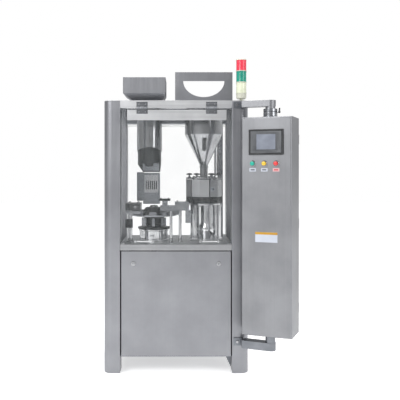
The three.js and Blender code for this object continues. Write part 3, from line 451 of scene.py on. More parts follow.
def clear_sheet(name, alpha, tint, rough):
    """Clear cast acrylic: almost nothing to see but a faint tint, its reflections and a few wiping marks."""
    made, tree, shader, place = new_material(name)
    marks = add_node(tree, "ShaderNodeTexNoise", {"Scale": 5.0, "Detail": 6.0},
                     {"Vector": place})
    spread = {"From Min": 0.35, "From Max": 0.7, "To Min": alpha * 0.6, "To Max": alpha * 1.4}
    veil = add_node(tree, "ShaderNodeMapRange", spread, {"Value": marks.outputs["Fac"]})
    values = {"Base Color": linear(tint), "Roughness": rough, "IOR": 1.49, "Specular IOR Level": 0.2}
    fill(tree, shader, values, {"Alpha": veil.outputs["Result"]})
    return made


MATERIALS = {}


def make_materials(colours):
    """Every finish of the machine. Streaks are drawn a few millimetres wide, far coarser than real satin
    grain, so that they show at all."""
    m = MATERIALS
    # Satin 304 sheet, brushed upright: soft, even grey with faint upright streaks.
    upright = (5 * MM, 5 * MM, 600 * MM)
    level = (600 * MM, 600 * MM, 4 * MM)
    c = colours
    m["sheet"] = grained_metal("Satin stainless sheet", c.sheet_dark, c.sheet_light, (0.34, 0.5), upright)
    # The same sheet on panels that face up or run across: the grain lies level, and its lighter colours are
    # painted light on these panels.
    m["level"] = grained_metal("Level satin stainless with painted light", c.level_dark, c.level_light, (0.3, 0.46), level)
    # Cabinet sheet is a shade darker and flatter, from a finer belt.
    belt = (c.cabinet_dark, c.cabinet_light, (0.38, 0.5))
    m["cabinet"] = grained_metal("Fine satin stainless", *belt, upright, 0.04)
    # Mirror polished 316 on everything that touches the product: sharp dark and white bands.
    m["polished"] = grained_metal("Polished stainless", "8a8b8d", "adaeb0", (0.12, 0.2), upright, 0.02)
    # Ground and polished shafts and columns: a lighter copy of the polished steel, whose lighter colour is
    # painted highlight, with harder edges to their bands.
    m["bright"] = grained_metal("Ground shaft steel with painted highlight", "bdbec0", "e2e3e4", (0.06, 0.13), upright, 0.02)
    # Turned and ground steel of the tooling: bright, with fine rings left by the tool.
    m["turned"] = grained_metal("Turned tool steel", "7d8084", "a2a4a8", (0.16, 0.28), level, 0.05)
    # Hot-blacked and shaded steel of funnel, magazine and hub.
    m["dark"] = grained_metal("Blackened steel", "2b2c2d", "4a4b4d", (0.22, 0.4), upright, 0.05)
    # Steel of brackets and pan, bead blasted: dull and even, with a fine pitted grain. The same darker grey
    # is painted shade on the rear header and the lower arm, which stand in shadow.
    m["grey"] = grained_metal("Bead blasted steel and painted shade", "6c6f74", "8b8e93", (0.34, 0.5), (3 * MM,) * 3, 0.1)
    # Headers and window rail: the lightest sheet of the machine, ground level.
    m["header"] = grained_metal("Bright satin stainless", "c6c7c9", "dcddde", (0.32, 0.46), level)
    # Cast acrylic: what stands behind it shows through, under a faint sheen.
    m["acrylic"] = clear_sheet("Cast acrylic", 0.03, "eef4f5", 0.04)
    # Its polished edge gathers light, so that it shows as a pale grey line.
    m["acrylic_edge"] = clear_sheet("Polished acrylic edge", 0.32, "b9c3c4", 0.15)
    # Moulded nylon of knobs, bezel and lever: soft black with a spark-eroded texture.
    m["black"] = moulded("Moulded black nylon", "2a2b2d", "1c1d1f", 0.42)
    # Moulded ABS frame round the screen: mid grey, half matt.
    m["bezel"] = moulded("Grey ABS bezel", "5c5e61", "505255", 0.45)
    # Glass of the unlit screen: flat blue grey with a clear reflection.
    m["screen"] = moulded("Unlit screen glass", "868b96", "767b86", 0.16, 0.002, 1.5, 0.0)
    # Sprayed enamel on castings of the drive: blue grey with slight orange peel.
    m["enamel"] = moulded("Sprayed grey enamel", "667380", "56626e", 0.4, 0.0012)
    # Moulded rubber of the belt: black, matt and coarse.
    m["rubber"] = moulded("Reinforced rubber", "262626", "1a1a1a", 0.75, 0.0015, 1.52, 0.3)
    # Moulded ABS of the signal tower: warm off-white, half gloss.
    m["cream_plastic"] = moulded("Off-white ABS", "d2d3c4", "c6c7b6", 0.35)
    # Lenses of the signal tower: saturated colour, darker between their ribs.
    m["red_lens"] = lens_plastic("Red polycarbonate", c.red_lens, "c82e42")
    m["green_lens"] = lens_plastic("Green polycarbonate", c.green_lens, "14705f")
    m["cream_lens"] = lens_plastic("Cream polycarbonate", c.cream_lens, "c9ceb2")
    # Moulded caps of the buttons: even, bright colour and a soft gloss.
    m["green_button"] = moulded("Green moulded cap", "28b49c", "1f9c88", 0.25)
    m["yellow_button"] = moulded("Yellow moulded cap", "f2cb4c", "e0b63a", 0.25)
    m["red_button"] = moulded("Red moulded cap", "e84a4a", "d03a3c", 0.25)
    # Vinyl labels and their printed blocks: flat, matt colour.
    m["white_label"] = moulded("White vinyl label", "c3c8d2", "b9bec9", 0.5)
    m["pink_label"] = moulded("Pale red vinyl label", "d9aeb0", "cfa0a3", 0.5)
    m["ochre_label"] = moulded("Ochre vinyl band", "c39427", "b5871f", 0.5)
    m["label_ink"] = moulded("Grey printed block", "6a6c72", "5c5e66", 0.55)
    m["red_ink"] = moulded("Red printed block", "c65a5c", "b84a4e", 0.55)
    # The floor is lit from within a little, as a cove is, so that it runs into the white behind it.
    m["floor"] = moulded("Pale studio floor", "f8f8f8", "f4f4f4", 0.95, 0.01, 1.4, 0.0)
    glow = {"Emission Color": linear("ffffff"), "Emission Strength": 0.5, "Specular IOR Level": 0.1}
    tree = m["floor"].node_tree
    fill(tree, tree.nodes["Principled BSDF"], glow)


class LooksColours(bpy.types.PropertyGroup):
    sheet_dark: bpy.props.StringProperty(
        name="Sheet shade", description="Darker satin steel, sRGB hex", default="8f9094"
    )
    sheet_light: bpy.props.StringProperty(
        name="Sheet light", description="Lighter satin steel, sRGB hex", default="9b9ca0"
    )
    level_dark: bpy.props.StringProperty(
        name="Level shade", description="Darker level steel, sRGB hex", default="97989a"
    )
    level_light: bpy.props.StringProperty(
        name="Level light", description="Lighter level steel, sRGB hex", default="acadaf"
    )
    cabinet_dark: bpy.props.StringProperty(
        name="Cabinet shade", description="Darker cabinet steel, sRGB hex", default="87888b"
    )
    cabinet_light: bpy.props.StringProperty(
        name="Cabinet light", description="Lighter cabinet steel, sRGB hex", default="96979a"
    )
    red_lens: bpy.props.StringProperty(
        name="Red lens", description="Stop lamp, sRGB hex", default="ea3e54"
    )
    green_lens: bpy.props.StringProperty(
        name="Green lens", description="Run lamp, sRGB hex", default="1f947e"
    )
    cream_lens: bpy.props.StringProperty(
        name="Cream lens", description="Wait lamp, sRGB hex", default="dde1c8"
    )


class LooksSizes(bpy.types.PropertyGroup):
    post_radius: bpy.props.FloatProperty(
        name="Post radius", description="Outer corner of a post", default=50 * MM, unit="LENGTH"
    )
    cabinet_width: bpy.props.FloatProperty(
        name="Cabinet width", description="Across its front", default=310 * MM, unit="LENGTH"
    )
    cabinet_depth: bpy.props.FloatProperty(
        name="Cabinet depth", description="Front to door", default=204 * MM, unit="LENGTH"
    )
    sheet: bpy.props.FloatProperty(
        name="Sheet", description="Wall of hoppers and tubes", default=3 * MM, unit="LENGTH"
    )
    camera_lens: bpy.props.FloatProperty(
        name="Lens", description="Focal length in millimetres", default=57.15
    )
    camera_distance: bpy.props.FloatProperty(
        name="Distance", description="Camera to the posts' front", default=4.0, unit="LENGTH"
    )
    camera_height: bpy.props.FloatProperty(
        name="Eye height", description="Camera above the floor", default=1.273, unit="LENGTH"
    )


class FILLER_OT_stage(bpy.types.Operator):
    """Floor, studio light and camera"""

    bl_idname = "filler.stage"
    bl_label = "Stage"

    def execute(self, context):
        sizes = context.scene.looks_sizes
        make_materials(context.scene.looks_colours)
        deselect()
        bpy.ops.mesh.primitive_plane_add(size=FLOOR_SIZE, location=(0, 6, 0))
        floor = bpy.context.object
        floor.name = "studio_floor"
        apply_place(floor)
        paint(floor, "floor")
        bpy.ops.object.camera_add()
        camera = bpy.context.object
        camera.location = (MID_X + CAMERA_ASIDE, FRONT - sizes.camera_distance, sizes.camera_height)
        camera.rotation_euler = (math.pi / 2, 0, 0)
        camera.data.lens = sizes.camera_lens
        camera.data.sensor_width = 36
        camera.data.shift_x, camera.data.shift_y = CAMERA_SHIFT
        camera.data.clip_end = 100
        context.scene.camera = camera
        lamps = (
            ("key_softbox", (-2.6, -3.4, 3.6), (0, 0, 1.0), 2.4, 105),
            ("fill_softbox", (3.4, -3.0, 2.2), (0, 0, 1.0), 2.0, 45),
            ("top_softbox", (0, 0.4, 4.2), (0, 0, 0.5), 2.6, 80),
        )
        for name, place, aim, size, watts in lamps:
            bpy.ops.object.light_add(type="AREA", location=place)
            lamp = bpy.context.object
            lamp.name = name
            lamp.data.size = size
            lamp.data.energy = watts
            way = Vector(aim) - Vector(place)
            lamp.rotation_euler = way.to_track_quat("-Z", "Y").to_euler()
        make_world(context.scene)
        context.scene.view_settings.view_transform = "Standard"
        return {"FINISHED"}


def make_world(scene):
    """White round the machine, as in a studio cove. Reflections see a plain room instead: pale overhead and
    below, with broad dark walls between softboxes, so that polished steel gets its bands."""
    world = bpy.data.worlds.new("Studio")
    scene.world = world
    world.use_nodes = True
    tree = world.node_tree
    tree.nodes.clear()
    place = add_node(tree, "ShaderNodeTexCoord")
    split = add_node(tree, "ShaderNodeSeparateXYZ", {}, {"Vector": place.outputs["Generated"]})
    around = add_node(tree, "ShaderNodeMath", {"operation": "ARCTAN2"},
                      {0: split.outputs["X"], 1: split.outputs["Y"]})
    turns = add_node(tree, "ShaderNodeMapRange",
                     {"From Min": -math.pi, "From Max": math.pi, "To Min": 0.0, "To Max": 1.0},
                     {"Value": around.outputs["Value"]})
    walls = add_node(tree, "ShaderNodeValToRGB", {}, {"Fac": turns.outputs["Result"]})
    set_ramp(walls, *zip(WALL_TURNS, [(v, v, v * 1.01, 1.0) for v in WALL_GREYS]))
    height = add_node(tree, "ShaderNodeMapRange", {"From Min": -0.25, "From Max": 0.75},
                      {"Value": split.outputs["Z"]})
    above = add_node(tree, "ShaderNodeMixRGB", {"Color2": (0.9, 0.905, 0.92, 1)},
                     {"Fac": height.outputs["Result"], "Color1": walls.outputs["Color"]})
    room = add_node(tree, "ShaderNodeBackground", {"Strength": 0.72}, {"Color": above.outputs["Color"]})
    cove = add_node(tree, "ShaderNodeBackground", {"Color": (1, 1, 1, 1), "Strength": 1.0})
    seen = add_node(tree, "ShaderNodeLightPath")
    mixed = add_node(tree, "ShaderNodeMixShader", {}, {"Fac": seen.outputs["Is Camera Ray"]})
    tree.links.new(room.outputs["Background"], mixed.inputs[1])
    tree.links.new(cove.outputs["Background"], mixed.inputs[2])
    out = add_node(tree, "ShaderNodeOutputWorld")
    tree.links.new(mixed.outputs["Shader"], out.inputs["Surface"])


class FILLER_OT_body(bpy.types.Operator):
    """Corner posts, roof with its headers, rear header and deck"""

    bl_idname = "filler.body"
    bl_label = "Body"

    def execute(self, context):
        radius = context.scene.looks_sizes.post_radius
        outer = {
            "post_front_left": lambda lo, hi: (lo.x, lo.y),
            "post_front_right": lambda lo, hi: (hi.x, lo.y),
            "post_rear_left": lambda lo, hi: (lo.x, hi.y),
            "post_rear_right": lambda lo, hi: (hi.x, hi.y),
        }
        for node, corner in outer.items():
            lo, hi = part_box(node)
            post = rounded_block(lo, hi, [corner(lo, hi)], radius, 3)
            skin(post, node, "brushed_steel", "sheet")
        lo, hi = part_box("roof")
        posts = high("post_front_left").z
        corners = [(lo.x, lo.y), (hi.x, lo.y), (hi.x, hi.y), (lo.x, hi.y)]
        top = rounded_block((lo.x, lo.y, posts + 0.3 * MM), hi, corners, radius, 0.8)
        inner = high("post_front_left").x + 0.3 * MM
        reach = low("post_front_right").x - 0.3 * MM
        front = block((inner, lo.y, lo.z), (reach, lo.y + 40 * MM, posts), 1.5)
        sides = []
        near, far = high("post_front_left").y + 0.3 * MM, low("post_rear_left").y - 0.3 * MM
        for x0, x1 in ((lo.x, lo.x + 40 * MM), (hi.x - 40 * MM, hi.x)):
            sides.append(block((x0, near, lo.z), (x1, far, posts), 1.5))
        for node, grow in (("drop_tube", 3 * MM), ("powder_hopper", 3 * MM)):
            centre = middle(node)
            width = (high(node).x - low(node).x) / 2 + grow
            cut(top, bar((centre.x, centre.y, lo.z), (centre.x, centre.y, hi.z + 0.1), width, 64))
        soften(top, 0)
        roof = joined(top, front, *sides)
        skin(roof, "roof", "light_steel", "header")
        rear = refined("rear_header", 2)
        # The rear header gets the darker grey: painted shade, for the shade of the roof it stands in.
        skin(rear, "rear_header", "light_steel", "grey")
        deck = refined("deck", 1.5)
        skin(deck, "deck", "light_steel", "level")
        pan = refined("base_pan", 1)
        skin(pan, "base_pan", "dark_steel", "grey")
        return {"FINISHED"}


class FILLER_OT_panels(bpy.types.Operator):
    """Lower panels with folded edges, and the quarter-turn locks of the front one"""

    bl_idname = "filler.panels"
    bl_label = "Lower panels"

    def execute(self, context):
        panels = (
            ("front_panel", "front_panel"),
            ("side_panel_left", "machine_frame"),
            ("side_panel_right", "machine_frame"),
            ("rear_panel", "machine_frame"),
        )
        for node, body in panels:
            skin(refined(node, 2, 3), node, "brushed_steel", "sheet", body)
        for side in ("left", "right"):
            node = "panel_lock_" + side
            lo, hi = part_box(node)
            centre = Vector(JOINT[f"lock_{side}_turn"]["pos_m"])
            face = low("front_panel").y
            front, inside = (centre.x, face, centre.z), (centre.x, hi.y, centre.z)
            rim = bar(at(front, 0, -5.3, 0), at(front, 0, -0.3, 0), 14.5 * MM, 40, 1.6)
            boss = bar(at(front, 0, -6.5, 0), at(inside, 0, -2, 0), 7.8 * MM, 28, 0.8)
            slot_start = at((centre.x, lo.y, centre.z), -1.6, -4, -6)
            cut(boss, block(slot_start, at(front, 1.6, -4.2, 6), 0))
            tongue = block(at(inside, -9, -6, -9), at((centre.x, hi.y, hi.z), 9, -2, 0), 1)
            lock = joined(paint(rim, "polished"), paint(boss, "turned"), paint(tongue, "grey"))
            skin(lock, node, "polished_steel", None, "lock_" + side)
        return {"FINISHED"}


class FILLER_OT_windows(bpy.types.Operator):
    """Clear panes, their hinges with knuckles and screws, and the bent bar handles"""

    bl_idname = "filler.windows"
    bl_label = "Windows"

    def execute(self, context):
        bodies = {
            "window_front": "front_window",
            "window_left": "left_window",
            "window_rear": "rear_window",
            "window_right": "machine_frame",
        }
        for node, body in bodies.items():
            pane = refined(node, 0.8)
            paint(pane, "acrylic", "acrylic_edge")
            thin = min(range(3), key=lambda k: (high(node) - low(node))[k])
            for face in pane.data.polygons:
                wide = abs(face.normal[thin]) > 0.9 and face.area > PANE_FACE
                face.material_index = 0 if wide else 1
            put(pane, node + "_pane", body, "acrylic", None, node)
        rail = refined("window_rail", 0.6)
        skin(rail, "window_rail", "light_steel", "header", "front_window")
        for side in ("left", "right"):
            for part, body in (("header", "machine_frame"), ("window", "front_window")):
                node = f"hinge_{part}_{side}"
                lo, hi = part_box(node)
                leaf = refined(node, 0.5)
                level = hi.z - 14 * MM if part == "header" else lo.z + 14 * MM
                screws = []
                for x in (lo.x + 14 * MM, hi.x - 14 * MM):
                    head = turned((x, 0), rings(0, 0, (4.2, 0), (4.2, 1), (2.4, 2.2)), 20)
                    head.rotation_euler = (math.pi / 2, 0, 0)
                    activate(head)
                    apply_place(head)
                    head.location = (0, hi.y - 2.7 * MM, level)
                    apply_place(head)
                    screws.append(head)
                skin(joined(leaf, *screws), node, "polished_steel", "turned", body)
            node = "window_handle_" + side
            lo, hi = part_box(node)
            skin(bent_handle(lo, hi), node, "polished_steel", "bright", "front_window")
        return {"FINISHED"}


def bent_handle(lo, hi):
    """A round bar bent twice: out from the pane, across and back, with a washer at each foot."""
    r = (hi.z - lo.z) / 2
    z = (lo.z + hi.z) / 2
    bend = 3 * r
    front = lo.y + r
    deselect()
    bpy.ops.mesh.primitive_circle_add(vertices=20, radius=r, location=(lo.x + r, hi.y, z),
                                      rotation=(math.pi / 2, 0, 0), fill_type="NGON")
    piece = bpy.context.object
    apply_place(piece)
    mode("EDIT")
    bpy.ops.mesh.select_all(action="SELECT")
    out = front + bend - hi.y
    bpy.ops.mesh.extrude_region_move(TRANSFORM_OT_translate={"value": (0, out, 0)})
    bpy.ops.mesh.spin(steps=8, angle=math.pi / 2, center=(lo.x + r + bend, front + bend, z), axis=(0, 0, 1))
    across = (hi.x - lo.x) - 2 * r - 2 * bend
    bpy.ops.mesh.extrude_region_move(TRANSFORM_OT_translate={"value": (across, 0, 0)})
    bpy.ops.mesh.spin(steps=8, angle=math.pi / 2, center=(hi.x - r - bend, front + bend, z), axis=(0, 0, 1))
    bpy.ops.mesh.extrude_region_move(TRANSFORM_OT_translate={"value": (0, -out, 0)})
    mode("OBJECT")
    mend(piece)
    soften(piece, 0)
    feet = [bar((x, hi.y - 3 * MM, z), (x, hi.y, z), 1.7 * r, 24, 0.6) for x in (lo.x + r, hi.x - r)]
    return joined(piece, *feet)


class FILLER_OT_capsule_feed(bpy.types.Operator):
    """Capsule bin, drop tube, funnel, magazine and its slotted plate"""

    bl_idname = "filler.capsule_feed"
    bl_label = "Capsule feed"

    def execute(self, context):
        sheet = context.scene.looks_sizes.sheet
        bin_ = refined("capsule_hopper", 1.2, 2, 12)
        lo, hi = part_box("capsule_hopper")
        lips = []
        lip = 7 * MM
        for a, b in (
            ((lo.x + 0.5 * MM, lo.y + 0.5 * MM), (hi.x - 0.5 * MM, lo.y + lip)),
            ((lo.x + 0.5 * MM, hi.y - lip), (hi.x - 0.5 * MM, hi.y - 0.5 * MM)),
            ((lo.x + 0.5 * MM, lo.y + lip), (lo.x + lip, hi.y - lip)),
            ((hi.x - lip, lo.y + lip), (hi.x - 0.5 * MM, hi.y - lip)),
        ):
            lips.append(block((*a, hi.z - 2.5 * MM), (*b, hi.z), 0.8))
        put(joined(bin_, *lips), "capsule_bin", "machine_frame", "brushed_steel", "sheet", "capsule_hopper")

        lo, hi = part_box("drop_tube")
        centre = middle("drop_tube")
        r = (hi.x - lo.x) / 2
        tube = turned(centre, [(r, lo.z), (r, hi.z), (r - sheet, hi.z), (r - sheet, lo.z), (r, lo.z)], 96, 0,
                      True)
        rise = 29 * MM
        arch = (rise**2 + r**2) / (2 * rise)
        cut(tube, bar((centre.x, lo.y - 0.1, lo.z + rise - arch), (centre.x, centre.y, lo.z + rise - arch),
                      arch, 128))
        soften(tube, 0)
        band_low = lo.z + 190 * MM
        band = turned(centre, rings(r, band_low, (-1, 0), (2.2, 0), (2.2, 14), (-1, 14)), 96, 0.6)
        seam = block(at((centre.x, lo.y, lo.z + rise), -1.2, -1.4, 4), at((centre.x, lo.y, hi.z), 1.2, 1, 0),
                     0.5)
        skin(joined(tube, seam), "drop_tube", "polished_steel", "polished")
        put(band, "drop_tube_band", "machine_frame", "polished_steel", "turned")

        funnel = refined("funnel", 1.5, 2, 20)
        lo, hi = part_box("funnel")
        x0, x1 = lo.x + 38 * MM, hi.x - 12 * MM
        shield = block(at((x0, lo.y, low("funnel").z), 0, 6, 8), at((x1, lo.y, lo.z), 0, 12, 58), 1.2)
        skin(funnel, "funnel", "dark_steel", "dark")
        put(shield, "funnel_shield", "machine_frame", "dark_steel", "grey")

        lo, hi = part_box("feeder_body")
        magazine = refined("feeder_body", 2, 3)
        edge_x = lo.x + 44 * MM
        parts = [magazine]
        for z in at((lo.z, lo.z, hi.z), 26, 70, -26):
            parts.append(block(at((edge_x, lo.y, z), 2, -1.2, 0), at((hi.x, lo.y, z), -2, 1, 2.5), 0.5))
        put(joined(*parts), "magazine_skin", "machine_frame", "dark_steel", "grey", "feeder_body")
        plate = refined("feeder_plate", 0.8)
        lo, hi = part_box("feeder_plate")
        studs = []
        for x in (lo.x + 7 * MM, hi.x - 7 * MM):
            for z in (lo.z + 7 * MM, hi.z - 7 * MM):
                studs.append(bar((x, lo.y - 3 * MM, z), (x, lo.y + 1 * MM, z), 3.4 * MM, 6, 0.4))
        put(joined(plate, *studs), "magazine_plate", "machine_frame", "brushed_steel", "level",
            "feeder_plate")
        # A dark sheet just inside the back of the plate: painted shade seen through its slots.
        back = block(at((lo.x, hi.y, lo.z), 10, -2, 18), at(hi, -10, -0.2, -36), 0.3)
        put(back, "magazine_slots_painted_shade", "machine_frame", "dark_steel", "dark")
        return {"FINISHED"}


class FILLER_OT_turret(bpy.types.Operator):
    """Turret drum, hub, segments with their capsule bushes, and the stations round it"""

    bl_idname = "filler.turret"
    bl_label = "Turret"

    def execute(self, context):
        lo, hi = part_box("turret_base")
        centre = middle("turret_base")
        r = (hi.x - lo.x) / 2
        wall = rings(r, lo.z, (0, 0), (0, 9), (-4, 11)) + rings(r, hi.z, (-4, -12), (0, -10), (0, 0))
        drum = turned(centre, wall, 96, 1)
        put(drum, "turret_drum", "machine_frame", "polished_steel", "bright", "turret_base")

        lo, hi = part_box("turret_hub")
        ring = low("turret_segments").z
        base = high("turret_base").z + 2 * MM
        profile = [(20 * MM, lo.z), (20 * MM, base)]
        profile += rings(0, base, (107, 0), (107, 12), (64, 14), (66, 30), (62, 34), (66, 38))
        profile += rings(0, ring, (70, -4), (91, 0), (91, 5), (88, 7), (91, 9), (91, 14), (54, 57), (25, 58),
                         (25, 68), (12, 71))
        hub = paint(turned(centre, profile, 80, 0.8), "dark")
        dome = rings(0, ring, (27, 57.5), (27, 66)) + rings(0, hi.z, (20, -2), (6, -0.5))
        cap = paint(turned(centre, dome, 48, 0.8), "polished")
        blocks = []
        for i in range(LUGS):
            lug = block(at((centre.x, centre.y, base), 56, -9, 18),
                        at((centre.x, centre.y, ring), 82, 9, -14), 2)
            blocks.append(paint(spun(lug, centre, i * 2 * math.pi / LUGS), "turned"))
        skin(joined(hub, cap, *blocks), "turret_hub", "dark_steel", None, "turret")

        lo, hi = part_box("turret_segments")
        segments = paint(refined("turret_segments", 1), "turned")
        bushes = []
        for i in range(SEGMENTS):
            angle = i * 2 * math.pi / SEGMENTS
            outward = Vector((math.cos(angle), math.sin(angle), 0))
            along = Vector((-math.sin(angle), math.cos(angle), 0))
            for k in (-1, 0, 1):
                spot = Vector((centre.x, centre.y, 0)) + outward * 146 * MM + along * k * 13 * MM
                bushes.append(bush(spot, hi.z, 4.6, 3.2, -3, 1.4, 14, "polished"))
            for k in (-1, 1):
                spot = Vector((centre.x, centre.y, 0)) + outward * 128 * MM + along * k * 15 * MM
                bushes.append(bolt((spot.x, spot.y, hi.z), -1, 2.6, 3.2, "dark", 0))
        skin(joined(segments, *bushes), "turret_segments", "polished_steel", None, "turret")

        self.stations()
        return {"FINISHED"}

    def stations(self):
        lo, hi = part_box("station_left")
        floor = lo.z
        body = paint(refined("station_left", 2.5, 3), "dark")
        extras = []
        base_y = lo.y + 21 * MM
        for x, y in ((lo.x + 18.5 * MM, base_y + 7 * MM), (lo.x + 36 * MM, base_y - 7 * MM)):
            foot = rings(0, floor, (13, 0), (13, 6), (9.5, 9), (9.5, 24))
            extras += footed_rod((x, y), floor, foot, 8.6 * MM, hi.z - 40 * MM)
        for x in (lo.x + 20 * MM, hi.x - 20 * MM):
            for y in (lo.y + 22 * MM, hi.y - 24 * MM):
                extras.append(bolt((x, y, hi.z), -1, 8, 6.5))
        arm = block(at((lo.x, lo.y, hi.z), 4, -6, -66), at((hi.x, lo.y, hi.z), 6, 26, -50), 1.5)
        knob = bar(at((hi.x, lo.y, hi.z), -34, -14, -22), at((hi.x, lo.y, hi.z), -34, 2, -22), 10 * MM, 32, 1)
        extras += [paint(arm, "turned"), paint(knob, "polished")]
        skin(joined(body, *extras), "station_left", "dark_steel", None)

        lo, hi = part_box("station_right")
        body = paint(refined("station_right", 2, 3), "turned")
        extras = []
        rods = ((lo.x + 77 * MM, lo.y + 12 * MM), (lo.x + 136 * MM, lo.y + 40 * MM))
        for x, y in rods:
            foot = rings(0, floor, (15, 0), (15, 7), (10.5, 10), (10.5, 30))
            extras += footed_rod((x, y), floor, foot, 9.7 * MM, lo.z + 204 * MM)
        cover = block(at((lo.x, lo.y, hi.z), 0, 4, -13), at((lo.x, lo.y, hi.z), 72, 100, 0.4), 1.2)
        extras.append(paint(cover, "dark"))
        top_left = (lo.x, lo.y, hi.z)
        heads = [(12, 14, 0), (60, 14, 0)] + [(x, y, -20) for y in (40, 84) for x in (118, 178)]
        for head in heads:
            extras.append(bolt(at(top_left, *head), -2, 7, 6))
        for x, z, front in ((20, -62, -18), (56, -62, -18), (128, -52, 14), (160, -52, 14)):
            knob = bar(at(top_left, x, front, z), at(top_left, x, 30, z), 8 * MM, 32, 1)
            extras.append(paint(knob, "polished"))
        skin(joined(body, *extras), "station_right", "polished_steel", None)


class FILLER_OT_powder_feed(bpy.types.Operator):
    """Guard hood, powder hopper with its sight strip and outlet clamps"""

    bl_idname = "filler.powder_feed"
    bl_label = "Powder feed"

    def execute(self, context):
        sheet = context.scene.looks_sizes.sheet
        hood = refined("guard_hood", 0.8, 2, 30)
        lo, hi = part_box("guard_hood")
        flange = 12 * MM
        folds = [block(at((lo.x, lo.y, hi.z), 0.5, 0.5, -2.6), (hi.x - 0.5 * MM, lo.y + flange, hi.z), 0.8)]
        for x0, x1 in ((lo.x + 0.5 * MM, lo.x + flange), (hi.x - flange, hi.x - 0.5 * MM)):
            folds.append(block((x0, lo.y + flange, hi.z - 2.6 * MM), (x1, hi.y, hi.z), 0.8))
        skin(joined(hood, *folds), "guard_hood", "brushed_steel", "sheet")

        lo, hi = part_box("powder_hopper")
        centre = middle("powder_hopper")
        r = (hi.x - lo.x) / 2
        neck = 26 * MM
        cone_low, cone_high = lo.z + 116 * MM, lo.z + 323 * MM
        shell = [(neck, lo.z), (neck, cone_low), (r, cone_high), (r, hi.z), (r - sheet, hi.z),
                 (r - sheet, cone_high + 1 * MM), (neck - sheet, cone_low + 1 * MM), (neck - sheet, lo.z)]
        shell.append(shell[0])
        hopper = turned(centre, shell, 128, 0, True)
        slot_lo, slot_hi = cone_low + 100 * MM, cone_high - 24 * MM
        slot = block((centre.x - 8 * MM, lo.y, slot_lo), (centre.x + 8 * MM, centre.y - neck, slot_hi), 0)
        cut(hopper, slot)
        soften(hopper, 0, 2, 18)
        skin(hopper, "powder_hopper", "polished_steel", "polished")
        way = Vector((0, -(r - neck), cone_high - cone_low)).normalized()
        start = Vector((centre.x, centre.y - neck, cone_low)) + way * 110 * MM
        strips = []
        for dx in (-11.5, 11.5):
            foot = start + Vector((dx * MM, -2 * MM, 0))
            strips.append(bar(foot, foot + way * SIGHT_LENGTH, 2.5 * MM, 12))
        # The sight glass is a black bar behind the slot: painted shade for the dark inside of the hopper.
        foot = start + Vector((0, 6 * MM, 0))
        glass = bar(foot, foot + way * SIGHT_LENGTH, 7.6 * MM, 16)
        put(joined(*strips), "sight_strip_frame", "machine_frame", "polished_steel", "dark")
        put(glass, "sight_strip", "machine_frame", "dark_steel", "black")
        clamps = []
        for z, radius in ((cone_low - 16 * MM, neck + 4 * MM), (lo.z + 16 * MM, neck + 3 * MM)):
            band = rings(neck, z, (-1, 0)) + rings(radius, z, (0, 2), (0, 10)) + rings(neck, z, (-1, 12))
            clamps.append(turned(centre, band, 48, 0.5))
        put(joined(*clamps), "outlet_clamps", "machine_frame", "polished_steel", "turned")
        return {"FINISHED"}


